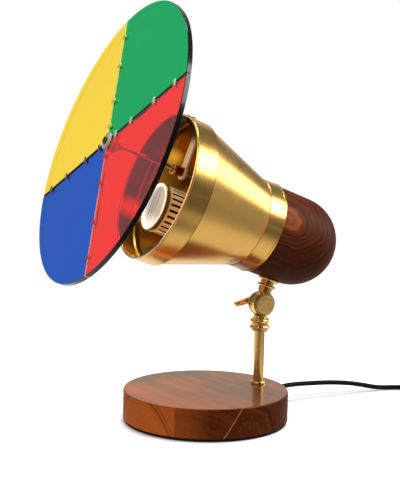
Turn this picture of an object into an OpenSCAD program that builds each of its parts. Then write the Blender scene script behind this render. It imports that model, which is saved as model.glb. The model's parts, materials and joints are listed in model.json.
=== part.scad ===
// Color wheel light: a tilting spot lamp on a wooden base, with a slowly driven wheel of four coloured
// panels in front of its brass shade.
// Frame: +Z up, origin at the centre of the underside, and the lamp points towards -X.

/* [Base] */
// Diameter of the wooden base
base_d = 172; // [164:1:200]
// Height of the base's top above the table
base_h = 32.5; // [30:0.5:45]
// Thickness of the foot pad
foot_t = 3; // [2:0.5:5]
// How far the foot pad stands in from the base's side
foot_inset = 1; // [0.5:0.5:4]
// Rounding of the base's top edge
base_edge = 1.2; // [0.4:0.1:3]
// Wood left over the cavity
base_roof = 10.5; // [7:0.5:13]
// Wall of the base round the cavity
base_wall = 8; // [6:0.5:11]
// Thickness of the bottom cover
cover_t = 2; // [1.5:0.5:3]
// How far the cover laps the wall round the cavity
cover_lap = 2; // [1:0.5:4]
// Diameter of the bosses that take the cover's screws
boss_d = 14; // [10:0.5:16]
// Diameter of the steel ballast disc
ballast_d = 100; // [70:1:104]
// Height of the ballast disc
ballast_h = 12; // [6:0.5:12]

/* [Post] */
// Distance of the post's axis from the base's side
post_inset = 23.5; // [22:0.5:28]
// Outer diameter of the post
post_d = 11; // [10:0.5:12]
// Bore of the post
post_bore = 8; // [6:0.5:8.5]
// Diameter of the turned flange at the post's foot
post_flange_d = 16; // [14:0.5:22]
// Height of that flange
post_flange_h = 3; // [2:0.5:6]
// Width across flats of the post's nut
post_nut_af = 16; // [15:0.5:18]
// Height of the post's nut
post_nut_h = 5; // [4:0.5:6]
// Height of the tilt pivot above the table
pivot_h = 119.5; // [105:0.5:160]

/* [Knuckle] */
// Diameter of the knuckle's ball
ball_d = 26; // [24:0.5:30]
// Distance from the pivot down to the collar's lower edge
collar_below = 29.5; // [27:0.5:36]
// Diameter of the collar's lower ring
collar_ring_d = 21.2; // [19:0.2:24]
// Diameter of the collar's waist
collar_waist_d = 17; // [15:0.5:18]
// Depth of the socket that turns on the post
socket_depth = 10; // [8:0.5:11]
// Diameter of the drum of the upper half
drum_d = 25; // [23:0.5:26]
// Thickness of the drum of the upper half
drum_t = 9; // [7:0.5:11]
// Diameter of the clamp bolt
bolt_d = 5; // [4:0.5:6]
// Diameter of the clamp bolt's flat head
bolt_head_d = 20.6; // [16:0.2:23]
// Thickness of that head
bolt_head_t = 4; // [3:0.5:6]
// Length of the clamp lever from the pivot
lever_l = 23; // [16:0.5:24]
// Diameter of the neck
neck_d = 14.4; // [13:0.2:16]
// Diameter of the ring on the neck
neck_ring_d = 19.6; // [17:0.2:22]
// Diameter of the flange ring under the wood
neck_flange_d = 22.4; // [20:0.2:24]
// Thickness of that flange ring
neck_flange_t = 4; // [3:0.5:5]
// Diameter of the neck's threaded spigot
spigot_d = 10; // [9:0.5:11]

/* [Head] */
// Tilt of the head above level in the rest position
head_tilt = 20.5; // [10:0.5:30]
// Distance of the neck's axis behind the rim
neck_s = 158; // [150:0.5:165]
// Distance of the pivot below the shade's axis
neck_drop = 74.5; // [73:0.5:85]
// Outer diameter of the rim band
rim_d = 152.5; // [140:0.5:156]
// Length of the rim band
band_l = 23.5; // [21:0.5:30]
// Thickness of the shade's sheet brass
sheet_t = 1.2; // [0.8:0.1:1.6]
// How far the cone's front edge tucks into the band
band_lap = 5.5; // [4:0.5:6]
// Radius of the bead rolled on the rim
rim_bead = 1.2; // [0.8:0.1:1.6]
// Distance of the cone's rear end behind the rim
cone_end_s = 107; // [104:0.5:116]
// Outer diameter of the cone's rear end
cone_end_d = 95.4; // [94:0.2:96]
// Inner diameter of the lip turned in at the cone's rear end
cone_lip_d = 81; // [79:0.5:83]
// Length of the rear collar
collar_l = 19; // [14:0.5:24]
// Outer diameter of the rear collar
collar_d = 96.6; // [96:0.2:104]
// Wall of the rear collar
collar_t = 3.4; // [3:0.1:4]
// Diameter of the wood housing
wood_d = 95; // [94:0.2:104]
// Diameter of the hollow in the wood housing
hollow_d = 78; // [74:0.5:80]
// Distance of the dome's centre behind the rim
dome_s = 168.5; // [164:0.5:180]
// Thickness of the bulkhead plate
bulkhead_t = 1.5; // [1:0.1:2]

/* [Wheel] */
// Diameter of the wheel
wheel_d = 293; // [240:1:304]
// Thickness of its panels
panel_t = 5; // [3:0.5:6]
// Gap between two panels
seam_gap = 1; // [0.6:0.1:1.6]
// Turn of the seams from upright
seam_angle = 27; // [0:1:89]
// Distance of the wheel's front face ahead of the rim
wheel_ahead = 65; // [50:0.5:80]
// Height of the wheel's shaft above the shade's axis
shaft_rise = 22.5; // [22:0.5:26]
// Diameter of the shaft
shaft_d = 4; // [3.5:0.1:5]
// Diameter of the hub's flanges
hub_d = 18; // [15:0.5:24]
// Width of a seam clip across the seam
clip_w = 7; // [5:0.5:10]
// Thickness of a clip's plates
clip_t = 0.8; // [0.5:0.1:1.2]

/* [Lamp] */
// Distance of the lens behind the rim
lamp_s = 4.6; // [3:0.2:9]
// Distance of the lamp's axis below the shade's axis
lamp_drop = 20; // [18:0.5:20.5]
// Diameter of the bulb's bezel
bezel_d = 51.6; // [48:0.2:52]
// Diameter of the bulb's finned body
fin_d = 49; // [44:0.5:50]
// Number of slots between the fins
fin_count = 24; // [16:1:28]
// Length of the bulb without its pins
bulb_l = 55.4; // [52:0.2:58]
// Diameter of the lamp holder
holder_d = 30; // [26:0.5:31]
// Length of the lamp holder
holder_l = 15; // [13:0.5:18]

/* [Motor] */
// Distance of the motor's plate behind the rim
motor_s = 78.5; // [76:0.5:82]
// Diameter of the motor can
motor_d = 42; // [41:0.5:43]
// Length of the motor can
motor_l = 18; // [16.5:0.5:20]
// Teeth of the gear on the wheel's shaft
gear_teeth = 36; // [30:3:36]
// Teeth of the rotor's pinion
pinion_teeth = 12; // [10:1:13]
// Tooth module
tooth_m = 0.6; // [0.5:0.05:0.6]

/* [Cord] */
// Diameter of the power cord
cord_d = 5.4; // [4.6:0.1:5.6]
// Pitch of the coil's turns, across and up
coil_pitch = 5.95; // [5.9:0.05:6.6]
// Outer radius of the coil, to the middle of the cord
coil_r = 43.5; // [43:0.5:50]
// Length of the inline switch
switch_l = 58; // [50:1:58]
// Width of the inline switch
switch_w = 24; // [22:0.5:30]
// Width of the plug
plug_w = 25; // [22:0.5:28]
// Length of the plug's body
plug_l = 30; // [24:0.5:36]

/* [Fits] */
// Running clearance of a shaft or pin, on the radius
run_fit = 0.05; // [0.02:0.01:0.09]
// Clearance of fixed pieces, on the radius
seat_fit = 0.1; // [0.05:0.01:0.15]
// Clearance between faces that pass each other
face_fit = 0.3; // [0.2:0.05:0.5]

/* [Hidden] */
$fn = 64;
cut = 1;

// Base, from the table up
post_x = base_d / 2 - post_inset;
cavity_d = base_d - 2 * base_wall;
cover_top = foot_t + cover_t;
roof_z = base_h - base_roof;
cover_screw_d = 3.5;
cover_screw_head_d = 7;
cover_screw_l = 12;
cover_screw_r = cavity_d / 2 - boss_d / 2 - 3;
cover_screw_angles = [90, 180, 270];
washer_t = 1.5;
washer_d = 18;
nut_z = roof_z - washer_t - post_nut_h;
post_bottom = nut_z - 2.5;
nut_corner_d = post_nut_af / cos(30);

// Cord exit on the base
gland_angle = 17;
gland_z = 17;
gland_hole_d = 9.6;
gland_flange_d = 14;
gland_flange_t = 2.5;
gland_boot_l = 24;
gland_boot_d = 11;
gland_tip_d = 7.2;
gland_inside = 4;
gland_in_r = base_d / 2 - base_wall - gland_inside;
cord_start_r = base_d / 2 + gland_flange_t + gland_boot_l;
gland_way = [cos(gland_angle), sin(gland_angle), 0];
lead_d = 4;
base_lead_route = [
    gland_in_r * gland_way + [0, 0, gland_z], [post_x + 2.5, 19.8, 16.5], [post_x - 1.5, 15, 13.5],
    [post_x - 2.5, 9, 10], [post_x - 1.5, 3.5, 8], [post_x, 0, 10], [post_x, 0, 16], [post_x, 0, 40],
    [post_x, 0, 80]
];

// Knuckle: heights from the pivot, depths from the middle towards the viewer's side
post_top = pivot_h - collar_below + socket_depth;
ring_t = 4;
ring_low = 4;
ring_high = 11;
collar_h = 14;
collar_high_d = collar_ring_d - 1;
stub_d = 13;
half_gap = 0.3;
washer_front = 0.2;
ball_flat = 10.5;
lever_washer_t = 1.2;
lever_washer_d = 16;
bolt_seat = drum_t + face_fit / 2;
lever_front = -ball_flat - lever_washer_t - face_fit / 2;
lever_boss_d = 10;
lever_boss_t = 6.2;
lever_arm_t = 4;
lever_root_w = 6.4;
lever_tip_w = 4.4;
lever_droop = 14;
lever_lift = 2.6;
bolt_end = lever_front - lever_boss_t + 1.6;
wire_bore = 5.5;
set_screw_d = 3;
set_screw_n = (ring_low + ring_high) / 2 - collar_below;
set_screw_l = (collar_waist_d - post_d) / 2 - face_fit;

// Head, in its own frame: s behind the rim plane, n above the shade's axis
collar_end_s = cone_end_s + collar_l;
wood_front_s = cone_end_s + bulkhead_t;
bore_d = collar_d - 2 * collar_t;
wood_spigot_d = bore_d - 2 * seat_fit;
flange_seat = sqrt(pow(wood_d / 2, 2) - pow(neck_flange_d / 2 + 0.4, 2)) - 0.1;
nut_seat = hollow_d / 2 + 0.5;
neck_nut_af = 15;
neck_nut_h = 5;
neck_top = neck_drop - flange_seat - neck_flange_t;
spigot_top = neck_drop - nut_seat + neck_nut_h + 2;
neck_ring_n = neck_top - 5.2;
neck_full = max(ball_d, drum_d) / 2 + face_fit;
cone_front_r = rim_d / 2 - sheet_t - seat_fit;
cone_end_r = cone_end_d / 2;
screw_d = 3;
screw_hole_d = screw_d + 2 * seat_fit;
pan_d = 5.6;
pan_h = 2.2;
shade_screw_r = (cone_lip_d + wood_spigot_d) / 4;
shade_screw_l = 12;
shade_screw_angles = [60, 180, 300];
strap_w = 12;
strap_t = 2;
strap_front_s = 4;
strap_pad_r = rim_d / 2 - sheet_t - seat_fit;
strap_pad_end_s = band_l - band_lap - seat_fit;
strap_r = cone_front_r - sheet_t - seat_fit;
strap_s = band_l - strap_t - seat_fit;
strap_end_s = strap_s + strap_t;
strap_screw_s = [7.5, 13];
strap_eye_d = 16;
strap_pan_d = 4.8;
strap_pan_h = 2;
strap_screw_out = 2;
bush_d = 10;
bush_ring_d = 12;
bush_ring_l = 2;
bush_front_s = 10;
bush_rear_s = strap_end_s + bush_ring_l;

// Motor, gears and lamp carrier
plate_t = 1.5;
can_s = motor_s + plate_t;
can_wall = 1.2;
can_back = 1.5;
ear_y = motor_d / 2 + 4;
ear_d = 9;
pillar_d = 6;
pillar_stud_d = 3;
tooth_angle = 25;
tooth_play = 0.12;
tooth_add = 0.8;
tooth_ded = 1.1;
gear_s = can_s + 3;
gear_w = 4;
gear_centres = tooth_m * (gear_teeth + pinion_teeth) / 2;
spindle_d = 2;
rotor_r = motor_d / 2 - can_wall - gear_centres - 0.5;
rotor_s = gear_s + gear_w + 1.5;
rotor_l = 6;
shaft_end_s = gear_s + gear_w + 4;
bulb_end_s = lamp_s + bulb_l;
holder_end_s = bulb_end_s + holder_l;
bracket_t = 2;
bracket_w = 18;
bracket_y = 17;
bracket_foot_y = 26;
holder_screw_y = 10;
holder_screw_l = 5;
foot_screw_y = (bracket_y + bracket_foot_y) / 2;
bulb_pin_y = 5;
bulb_pin_d = 4;
bulb_pin_l = 9;
bezel_l = 4;
bezel_ring_w = 3.8;
lens_d = bezel_d - 2 * bezel_ring_w;
lens_ledge = 1;
lens_t = 2.4;
lens_inset = 1;
bulb_neck_d = 26;
bulb_cup_l = 16;
reflector_room = 2;
fin_slot_w = 2.6;
fin_slot_depth = 3.2;
terminal_size = [12, 24, 12];
wire_hole_d = 7;
lead_holes_n = [-12, 14];
lead_turn_s = wood_front_s + terminal_size[0] / 2;
lamp_lead_n = -lamp_drop + bracket_w / 2 + lead_d / 2 + 1;
lamp_lead_route = [
    [holder_end_s, 0, lamp_lead_n], [holder_end_s + 6, 0, lamp_lead_n], [92, 0, -9.5], [101, 0, -12],
    [107, 0, -12], [111.5, 0, -12], [lead_turn_s - 0.5, 0, -11], [lead_turn_s, 0, -9],
    [lead_turn_s, 0, -terminal_size[2] / 2]
];
motor_lead_route = [
    [can_s + motor_l, 0, 14], [103, 0, 14], [111, 0, 14], [lead_turn_s - 0.5, 0, 13],
    [lead_turn_s, 0, 11], [lead_turn_s, 0, terminal_size[2] / 2]
];
supply_lead_route = [
    [neck_s, 0, spigot_top - neck_drop - 5], [neck_s, 0, spigot_top - neck_drop + 3], [156, 0, -22],
    [150, 0, -13], [140, 0, -5], [130, 0, -1], [124, 0, 0], [wood_front_s + terminal_size[0], 0, 0]
];
motor_lead_d = 3;

// Wheel
hub_tube_d = 8;
hub_flange_t = 2;
hub_neck_d = 11;
hub_ring_back = 5.5;
hub_ring_z = panel_t + hub_ring_back;
hub_ring_t = 2.5;
hub_boss_d = 9;
hub_tail_l = 13;
hub_l = panel_t + hub_tail_l;
hub_washer_t = 1.5;
hub_screw_d = 2.5;
hub_screw_head_d = 7.5;
hub_screw_head_h = 2.2;
hub_screw_l = 9;
clip_l = 3;
clip_edge = 20;
clip_radii = [17, 47, 90, wheel_d / 2 - clip_edge];

// Cord: the stretch that lies free, as points chosen along its way
cord_sides = 8;
coil_sides = 6;
tie_t = 1;
tie_w = 10;
tie_gap = 0.1;
tie_slack = 1.2;
coil_low_z = cord_d / 2 + tie_t + tie_gap;
coil_high_z = coil_low_z + coil_pitch;
coil_turns = 7.5;
coil_step = 15;
switch_x = 295;
switch_y = -24;
switch_z = 9;
switch_h = 18;
coil_start = [switch_x, -128, coil_low_z];
coil_centre = [switch_x + coil_r, coil_start[1]];
cord_route = concat(
    [for (k = [0, 6]) (cord_start_r + k) * gland_way + [0, 0, gland_z]],
    [
        [122, 37, 16.9], [133, 39.4, 16.5], [144, 40.5, 16], [155, 41, 15.5], [166, 41, 15],
        [178, 41, 14.3], [189, 40.5, 13.4], [198, 40.2, 12.4], [206, 40, 11.3], [215, 39.8, 9.7],
        [224, 39.5, 7.8], [232, 39, 6], [240, 38.3, 4.4], [248, 37.4, 3.3], [257, 35.8, 2.8],
        [265, 33.6, 2.75], [273, 30, 2.75], [280, 25.6, 2.75], [286, 20, 2.8], [290.4, 13, 3.1],
        [293, 5, 4], [294.5, -3, 5.8], [295, -10, 7.7], [295, -16, 8.8], [295, -22, 9],
        [295, -53, 9], [295, -84, 9], [295, -90, 8.8], [295, -97, 7.8], [295, -105, 6],
        [295, -112, 4.6], [295, -118, 3.95]
    ],
    [coil_start + [0, cord_d, 0]]
);

// A turned shape stands along s in the head's frame
module head() {
    translate([post_x, 0, pivot_h]) rotate([0, head_tilt, 0]) translate([-neck_s, 0, neck_drop]) children();
}

module along_s(s, n = 0, y = 0) {
    translate([s, y, n]) rotate([0, 90, 0]) children();
}

module on_pivot() {
    translate([post_x, 0, pivot_h]) rotate([90, 0, 0]) children();
}

module ring(outer_d, inner_d, h) {
    difference() {
        cylinder(d = outer_d, h = h);
        translate([0, 0, -cut]) cylinder(d = inner_d, h = h + 2 * cut);
    }
}

module round_top_disc(d, h, edge) {
    rotate_extrude() {
        square([d / 2, h - edge]);
        square([d / 2 - edge, h]);
        translate([d / 2 - edge, h - edge]) circle(r = edge);
    }
}

module bead_outline(d, h, t) {
    translate([0, h - t / 2]) square([(d - t) / 2, t]);
    translate([(d - t) / 2, h]) circle(d = t);
}

module pan_screw(shank_d, l, head_d, head_h) {
    cylinder(d = shank_d, h = l);
    mirror([0, 0, 1]) round_top_disc(head_d, head_h, head_h / 3);
}

module rounded_box(w, l, h, r) {
    linear_extrude(h) {
        square([w - 2 * r, l], center = true);
        square([w, l - 2 * r], center = true);
        for (x = [-1, 1], y = [-1, 1]) {
            translate([x * (w / 2 - r), y * (l / 2 - r)]) circle(r = r);
        }
    }
}

// A tube swept along a list of points
function unit(v) = v / norm(v);
function heading(p, i) =
    i == 0 ? unit(p[1] - p[0])
    : i == len(p) - 1 ? unit(p[i] - p[i - 1])
    : unit(unit(p[i + 1] - p[i]) + unit(p[i] - p[i - 1]));
function square_to(v, t) = unit(v - t * (v * t));
function sides_of(p, first) = [
    for (i = 0, v = square_to(first, heading(p, 0));
         i < len(p);
         i = i + 1, v = i < len(p) ? square_to(v, heading(p, i)) : v) v
];

module tube(p, d, sides, first = [0, 1, 0]) {
    across = sides_of(p, first);
    last = len(p) - 1;
    points = [
        for (i = [0:last], k = [0:sides - 1])
            let (a = 360 * k / sides, t = heading(p, i))
                p[i] + d / 2 * (cos(a) * across[i] + sin(a) * cross(t, across[i]))
    ];
    walls = [
        for (i = [0:last - 1], k = [0:sides - 1])
            let (a = i * sides + k, b = i * sides + (k + 1) % sides)
                each [[a, a + sides, b], [b, a + sides, b + sides]]
    ];
    start_cap = [for (k = [1:sides - 2]) [0, k, k + 1]];
    end_cap = [for (k = [1:sides - 2]) [last * sides, last * sides + k + 1, last * sides + k]];
    polyhedron(points, concat(walls, start_cap, end_cap), convexity = 10);
}

// The coil spirals in on its lower layer, climbs in the half turn where it reverses, and spirals out again
coil_angle = 360 * coil_turns;
function coil_rise(a) = max(0, min(1, (a - coil_angle / 2 + 90) / 180));
function coil_point(a) =
    let (r = coil_r - coil_pitch * min(a, coil_angle - a) / 360, u = coil_rise(a))
        [
            coil_centre[0] - r * cos(a), coil_centre[1] - r * sin(a),
            coil_low_z + (coil_high_z - coil_low_z) * u * u * (3 - 2 * u)
        ];
coil_loops = [for (a = [0:coil_step:coil_angle]) coil_point(a)];
coil_end = coil_loops[len(coil_loops) - 1] + [0, cord_d, 0];
coil_route = concat([coil_start + [0, cord_d, 0]], coil_loops, [coil_end]);
coil_apart = 270 / coil_step;
coil_gap = min([
    for (i = [0:len(coil_loops) - 1 - coil_apart], j = [i + coil_apart:len(coil_loops) - 1])
        norm(coil_loops[i] - coil_loops[j])
]) - cord_d;
echo(coil_least_gap = coil_gap);

// Involute gear outline
function involute(a) = tan(a) * 180 / PI - a;
function tooth_half(r, teeth) =
    let (pitch_r = tooth_m * teeth / 2, base_r = pitch_r * cos(tooth_angle))
        90 / teeth - tooth_play / 4 / pitch_r * 180 / PI + involute(tooth_angle)
        - involute(acos(min(1, base_r / r)));
module gear_outline(teeth) {
    pitch_r = tooth_m * teeth / 2;
    root_r = pitch_r - tooth_ded * tooth_m;
    foot_r = max(root_r, pitch_r * cos(tooth_angle));
    tip_r = pitch_r + tooth_add * tooth_m;
    flank = [for (k = [0:3]) foot_r + (tip_r - foot_r) * k / 3];
    polygon([
        for (i = [0:teeth - 1])
            let (
                up = [for (r = flank) [r, -tooth_half(r, teeth)]],
                down = [for (k = [3:-1:0]) [flank[k], tooth_half(flank[k], teeth)]],
                root = tooth_half(foot_r, teeth)
            )
                for (p = concat([[root_r, -root]], up, down, [[root_r, root]]))
                    p[0] * [cos(360 * i / teeth + p[1]), sin(360 * i / teeth + p[1])]
    ]);
}

// Base
module at_cover_screws() {
    for (a = cover_screw_angles) rotate(a) translate([cover_screw_r, 0, 0]) children();
}

module base_block() {
    color("sienna") difference() {
        translate([0, 0, foot_t]) round_top_disc(base_d, base_h - foot_t, base_edge);
        difference() {
            translate([0, 0, foot_t - cut]) cylinder(d = cavity_d, h = roof_z - foot_t + cut);
            at_cover_screws() translate([0, 0, cover_top]) cylinder(d = boss_d, h = roof_z);
        }
        translate([0, 0, foot_t - cut]) cylinder(d = cavity_d + 2 * cover_lap, h = cover_t + cut);
        at_cover_screws() translate([0, 0, foot_t]) {
            cylinder(d = cover_screw_d + 2 * seat_fit, h = cover_screw_l + cut);
        }
        translate([post_x, 0, 0]) cylinder(d = post_d + 2 * seat_fit, h = base_h + cut);
        rotate(gland_angle) translate([gland_in_r, 0, gland_z]) rotate([0, 90, 0]) {
            cylinder(d = gland_hole_d, h = base_d);
        }
    }
}

module foot_pad() {
    color("black") cylinder(d = base_d - 2 * foot_inset, h = foot_t);
}

module ballast_disc() {
    color("dimgray") difference() {
        translate([0, 0, cover_top]) cylinder(d = ballast_d, h = ballast_h);
        translate([post_x, 0, 0]) cylinder(d = nut_corner_d + 3, h = base_h);
    }
}

module base_cover() {
    color("dimgray") difference() {
        translate([0, 0, foot_t]) cylinder(d = cavity_d + 2 * cover_lap - 2 * seat_fit, h = cover_t);
        at_cover_screws() translate([0, 0, foot_t]) countersink(2 * seat_fit);
    }
}

module countersink(wider) {
    cylinder(d = cover_screw_d + wider, h = cover_screw_l);
    cylinder(d1 = cover_screw_head_d + wider, d2 = cover_screw_d + wider, h = cover_t);
}

module cover_screws() {
    color("silver") at_cover_screws() translate([0, 0, foot_t]) countersink(0);
}

module post_tube() {
    color("goldenrod") translate([post_x, 0, post_bottom]) ring(post_d, post_bore, post_top - post_bottom);
}

module post_flange() {
    color("goldenrod") translate([post_x, 0, base_h]) difference() {
        round_top_disc(post_flange_d, post_flange_h, post_flange_h / 2);
        translate([0, 0, -cut]) cylinder(d = post_d + 2 * seat_fit, h = post_flange_h + 2 * cut);
    }
}

module post_washer() {
    color("silver") translate([post_x, 0, roof_z - washer_t]) {
        ring(washer_d, post_d + 2 * seat_fit, washer_t);
    }
}

module post_nut() {
    color("silver") translate([post_x, 0, nut_z]) difference() {
        cylinder(d = nut_corner_d, h = post_nut_h, $fn = 6);
        translate([0, 0, -cut]) cylinder(d = post_d + 2 * seat_fit, h = post_nut_h + 2 * cut);
    }
}

module cord_gland() {
    color("black") rotate(gland_angle) translate([0, 0, gland_z]) {
        along_s(gland_in_r) cylinder(d = gland_hole_d - 2 * seat_fit, h = base_d / 2 - gland_in_r);
        along_s(base_d / 2) cylinder(d = gland_flange_d, h = gland_flange_t);
        along_s(base_d / 2 + gland_flange_t) {
            cylinder(d1 = gland_boot_d, d2 = gland_tip_d, h = gland_boot_l);
        }
    }
}

module base_lead() {
    color("black") tube(base_lead_route, lead_d, cord_sides);
}

// Power cord and what is on it
module power_cord() {
    color("black") tube(cord_route, cord_d, cord_sides, [0, 0, 1]);
}

module cord_coil() {
    color("black") tube(coil_route, cord_d, coil_sides, [0, 0, 1]);
}

module cord_tie() {
    outer_turn = coil_r - 0.25 * coil_pitch + cord_d / 2 + face_fit;
    inner_turn = coil_r - (coil_turns / 2 - 0.5) * coil_pitch - cord_d / 2 - tie_slack;
    inner_low = [-tie_w / 2 - cut, -outer_turn, coil_low_z - cord_d / 2 - tie_gap];
    inner_high = [tie_w / 2 + cut, -inner_turn, coil_high_z + cord_d / 2 + face_fit];
    wall = [-cut, tie_t, tie_t];
    color("dimgray") translate([coil_centre[0], coil_centre[1], 0]) difference() {
        translate(inner_low - wall) cube(inner_high - inner_low + 2 * wall);
        translate(inner_low) cube(inner_high - inner_low);
    }
}

plug_corner = 5;
plug_tail_l = sqrt(pow(coil_r + cord_d / 2 + 1, 2) - pow(coil_r - plug_w / 2, 2)) - cord_d + 1;
plug_rear_y = coil_end[1] + plug_tail_l;
blade_size = [1.5, 17, 6.3];
blade_spacing = 12.7;
module plug_body() {
    color("black") translate([coil_end[0], 0, coil_high_z]) {
        translate([0, coil_end[1], 0]) rotate([-90, 0, 0]) {
            cylinder(d1 = cord_d + 1.4, d2 = plug_corner * 2.2, h = plug_tail_l);
        }
        translate([0, plug_rear_y, 0]) rotate([-90, 0, 0]) {
            rounded_box(plug_w, 2 * coil_high_z, plug_l, plug_corner);
        }
    }
}

module plug_blades() {
    color("silver") for (side = [-1, 1]) {
        translate([coil_end[0] + side * blade_spacing / 2, plug_rear_y + plug_l, coil_high_z]) {
            translate([-blade_size[0] / 2, 0, -blade_size[2] / 2]) cube(blade_size);
        }
    }
}

rocker_l = 18;
rocker_w = 10.6;
window_l = 20;
window_w = 11.6;
window_depth = 5.5;
rocker_pivot_z = switch_h - 2;
rocker_pin_d = 2;
rocker_pin_l = window_w + 4;
rocker_rest = 8;
switch_corner = 6;
module at_switch() {
    translate([switch_x, switch_y - switch_l / 2, 0]) children();
}

module switch_body() {
    color("black") at_switch() difference() {
        rounded_box(switch_w, switch_l, switch_h, switch_corner);
        translate([0, switch_l, switch_z]) rotate([90, 0, 0]) {
            cylinder(d = cord_d + 2 * seat_fit, h = 2 * switch_l);
        }
        translate([-window_w / 2, -window_l / 2, switch_h - window_depth]) {
            cube([window_w, window_l, window_depth + cut]);
        }
        translate([-rocker_pin_l / 2 - cut / 2, 0, rocker_pivot_z]) rotate([0, 90, 0]) {
            cylinder(d = rocker_pin_d + 2 * run_fit, h = rocker_pin_l + cut);
        }
    }
}

module switch_rocker() {
    end = rocker_l / 2;
    color("dimgray") at_switch() translate([0, 0, rocker_pivot_z]) rotate([rocker_rest, 0, 0]) {
        translate([-rocker_w / 2, 0, 0]) rotate([90, 0, 90]) linear_extrude(rocker_w) {
            polygon([[-end, 0], [-end, 3], [0, 1.8], [end, 3], [end, 0], [end / 2, -2], [-end / 2, -2]]);
        }
        translate([-rocker_pin_l / 2, 0, 0]) rotate([0, 90, 0]) {
            cylinder(d = rocker_pin_d, h = rocker_pin_l);
        }
    }
}

// Knuckle
module behind(limit) {
    translate([-base_d, limit, -base_d]) cube(2 * base_d);
}

module collar_outline() {
    square([collar_waist_d / 2, collar_h]);
    bead_outline(collar_ring_d, ring_low, ring_t);
    bead_outline(collar_high_d, ring_high, ring_t);
}

module lower_knuckle() {
    stub_top = collar_below - drum_d / 2 - face_fit;
    color("gold") translate([post_x, 0, pivot_h]) difference() {
        union() {
            translate([0, 0, -collar_below]) rotate_extrude() collar_outline();
            translate([0, 0, -collar_below]) cylinder(d = stub_d, h = stub_top);
            intersection() {
                union() {
                    sphere(d = ball_d);
                    translate([0, 0, -collar_below]) cylinder(d = stub_d, h = collar_below);
                }
                behind(half_gap);
            }
        }
        behind(ball_flat);
        translate([0, 0, -collar_below - cut]) cylinder(d = post_d + 2 * run_fit, h = socket_depth + cut);
        translate([0, 0, -collar_below]) cylinder(d = wire_bore, h = stub_top - cut);
        rotate([-90, 0, 0]) cylinder(d = bolt_d + 2 * run_fit, h = ball_d);
        translate([0, 0, set_screw_n]) rotate([-90, 0, 0]) {
            cylinder(d = set_screw_d + 2 * run_fit, h = collar_ring_d);
        }
    }
}

module swivel_screw() {
    color("dimgray") translate([post_x, post_d / 2 + face_fit / 2, pivot_h + set_screw_n]) {
        rotate([-90, 0, 0]) cylinder(d = set_screw_d, h = set_screw_l);
    }
}

module friction_washer() {
    color("linen") on_pivot() translate([0, 0, -half_gap]) {
        ring(drum_d - 3, bolt_d + 2 * run_fit, half_gap + washer_front);
    }
}

module pivot_bolt() {
    color("gold") on_pivot() {
        translate([0, 0, bolt_end]) cylinder(d = bolt_d, h = bolt_seat - bolt_end);
        translate([0, 0, bolt_seat]) round_top_disc(bolt_head_d, bolt_head_t, 0.8);
    }
}

module lever_washer() {
    color("gold") on_pivot() translate([0, 0, -ball_flat - lever_washer_t]) {
        ring(lever_washer_d, bolt_d + 2 * run_fit, lever_washer_t);
    }
}

module clamp_lever() {
    color("gold") on_pivot() translate([0, 0, lever_front]) mirror([0, 0, 1]) difference() {
        union() {
            round_top_disc(lever_boss_d, lever_boss_t, 1.5);
            translate([0, 0, (lever_boss_t - lever_arm_t) / 2]) linear_extrude(lever_arm_t) {
                translate([0, lever_lift]) rotate(180 + lever_droop) {
                    polygon([
                        [0, lever_root_w / 2], [lever_l - lever_tip_w / 2, lever_tip_w / 2],
                        [lever_l - lever_tip_w / 2, -lever_tip_w / 2], [0, -lever_root_w / 2]
                    ]);
                    circle(d = lever_root_w);
                    translate([lever_l - lever_tip_w / 2, 0]) circle(d = lever_tip_w);
                }
            }
        }
        translate([0, 0, -cut]) {
            cylinder(d = bolt_d + 2 * run_fit, h = lever_front - bolt_end + cut + face_fit);
        }
    }
}

module upper_knuckle() {
    color("gold") head() translate([neck_s, 0, -neck_drop]) difference() {
        union() {
            rotate([90, 0, 0]) translate([0, 0, washer_front + run_fit]) {
                cylinder(d = drum_d, h = drum_t - washer_front - run_fit);
            }
            difference() {
                cylinder(d = neck_d, h = neck_full);
                behind(-washer_front - run_fit);
                translate([0, -drum_t - base_d, 0]) cube(2 * base_d, center = true);
            }
            translate([0, 0, neck_full]) cylinder(d = neck_d, h = neck_top - neck_full);
            rotate_extrude() bead_outline(neck_ring_d, neck_ring_n, ring_t - 0.8);
            translate([0, 0, neck_full]) cylinder(d = spigot_d, h = spigot_top - neck_full);
        }
        rotate([90, 0, 0]) cylinder(d = bolt_d + 2 * run_fit, h = 2 * drum_t);
        translate([0, 0, neck_full]) cylinder(d = wire_bore, h = spigot_top);
    }
}

module neck_flange() {
    color("gold") head() translate([neck_s, 0, -neck_drop + neck_top]) difference() {
        rotate_extrude() bead_outline(neck_flange_d, neck_flange_t / 2, neck_flange_t);
        translate([0, 0, -cut]) cylinder(d = spigot_d + 2 * seat_fit, h = neck_flange_t + 2 * cut);
    }
}

module neck_nut() {
    color("silver") head() translate([neck_s, 0, -nut_seat]) difference() {
        cylinder(d = neck_nut_af / cos(30), h = neck_nut_h, $fn = 6);
        translate([0, 0, -cut]) cylinder(d = spigot_d + 2 * seat_fit, h = neck_nut_h + 2 * cut);
    }
}

// Head shells
module at_shade_screws(s) {
    for (a = shade_screw_angles) {
        along_s(s, shade_screw_r * cos(a), shade_screw_r * sin(a)) children();
    }
}

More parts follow.
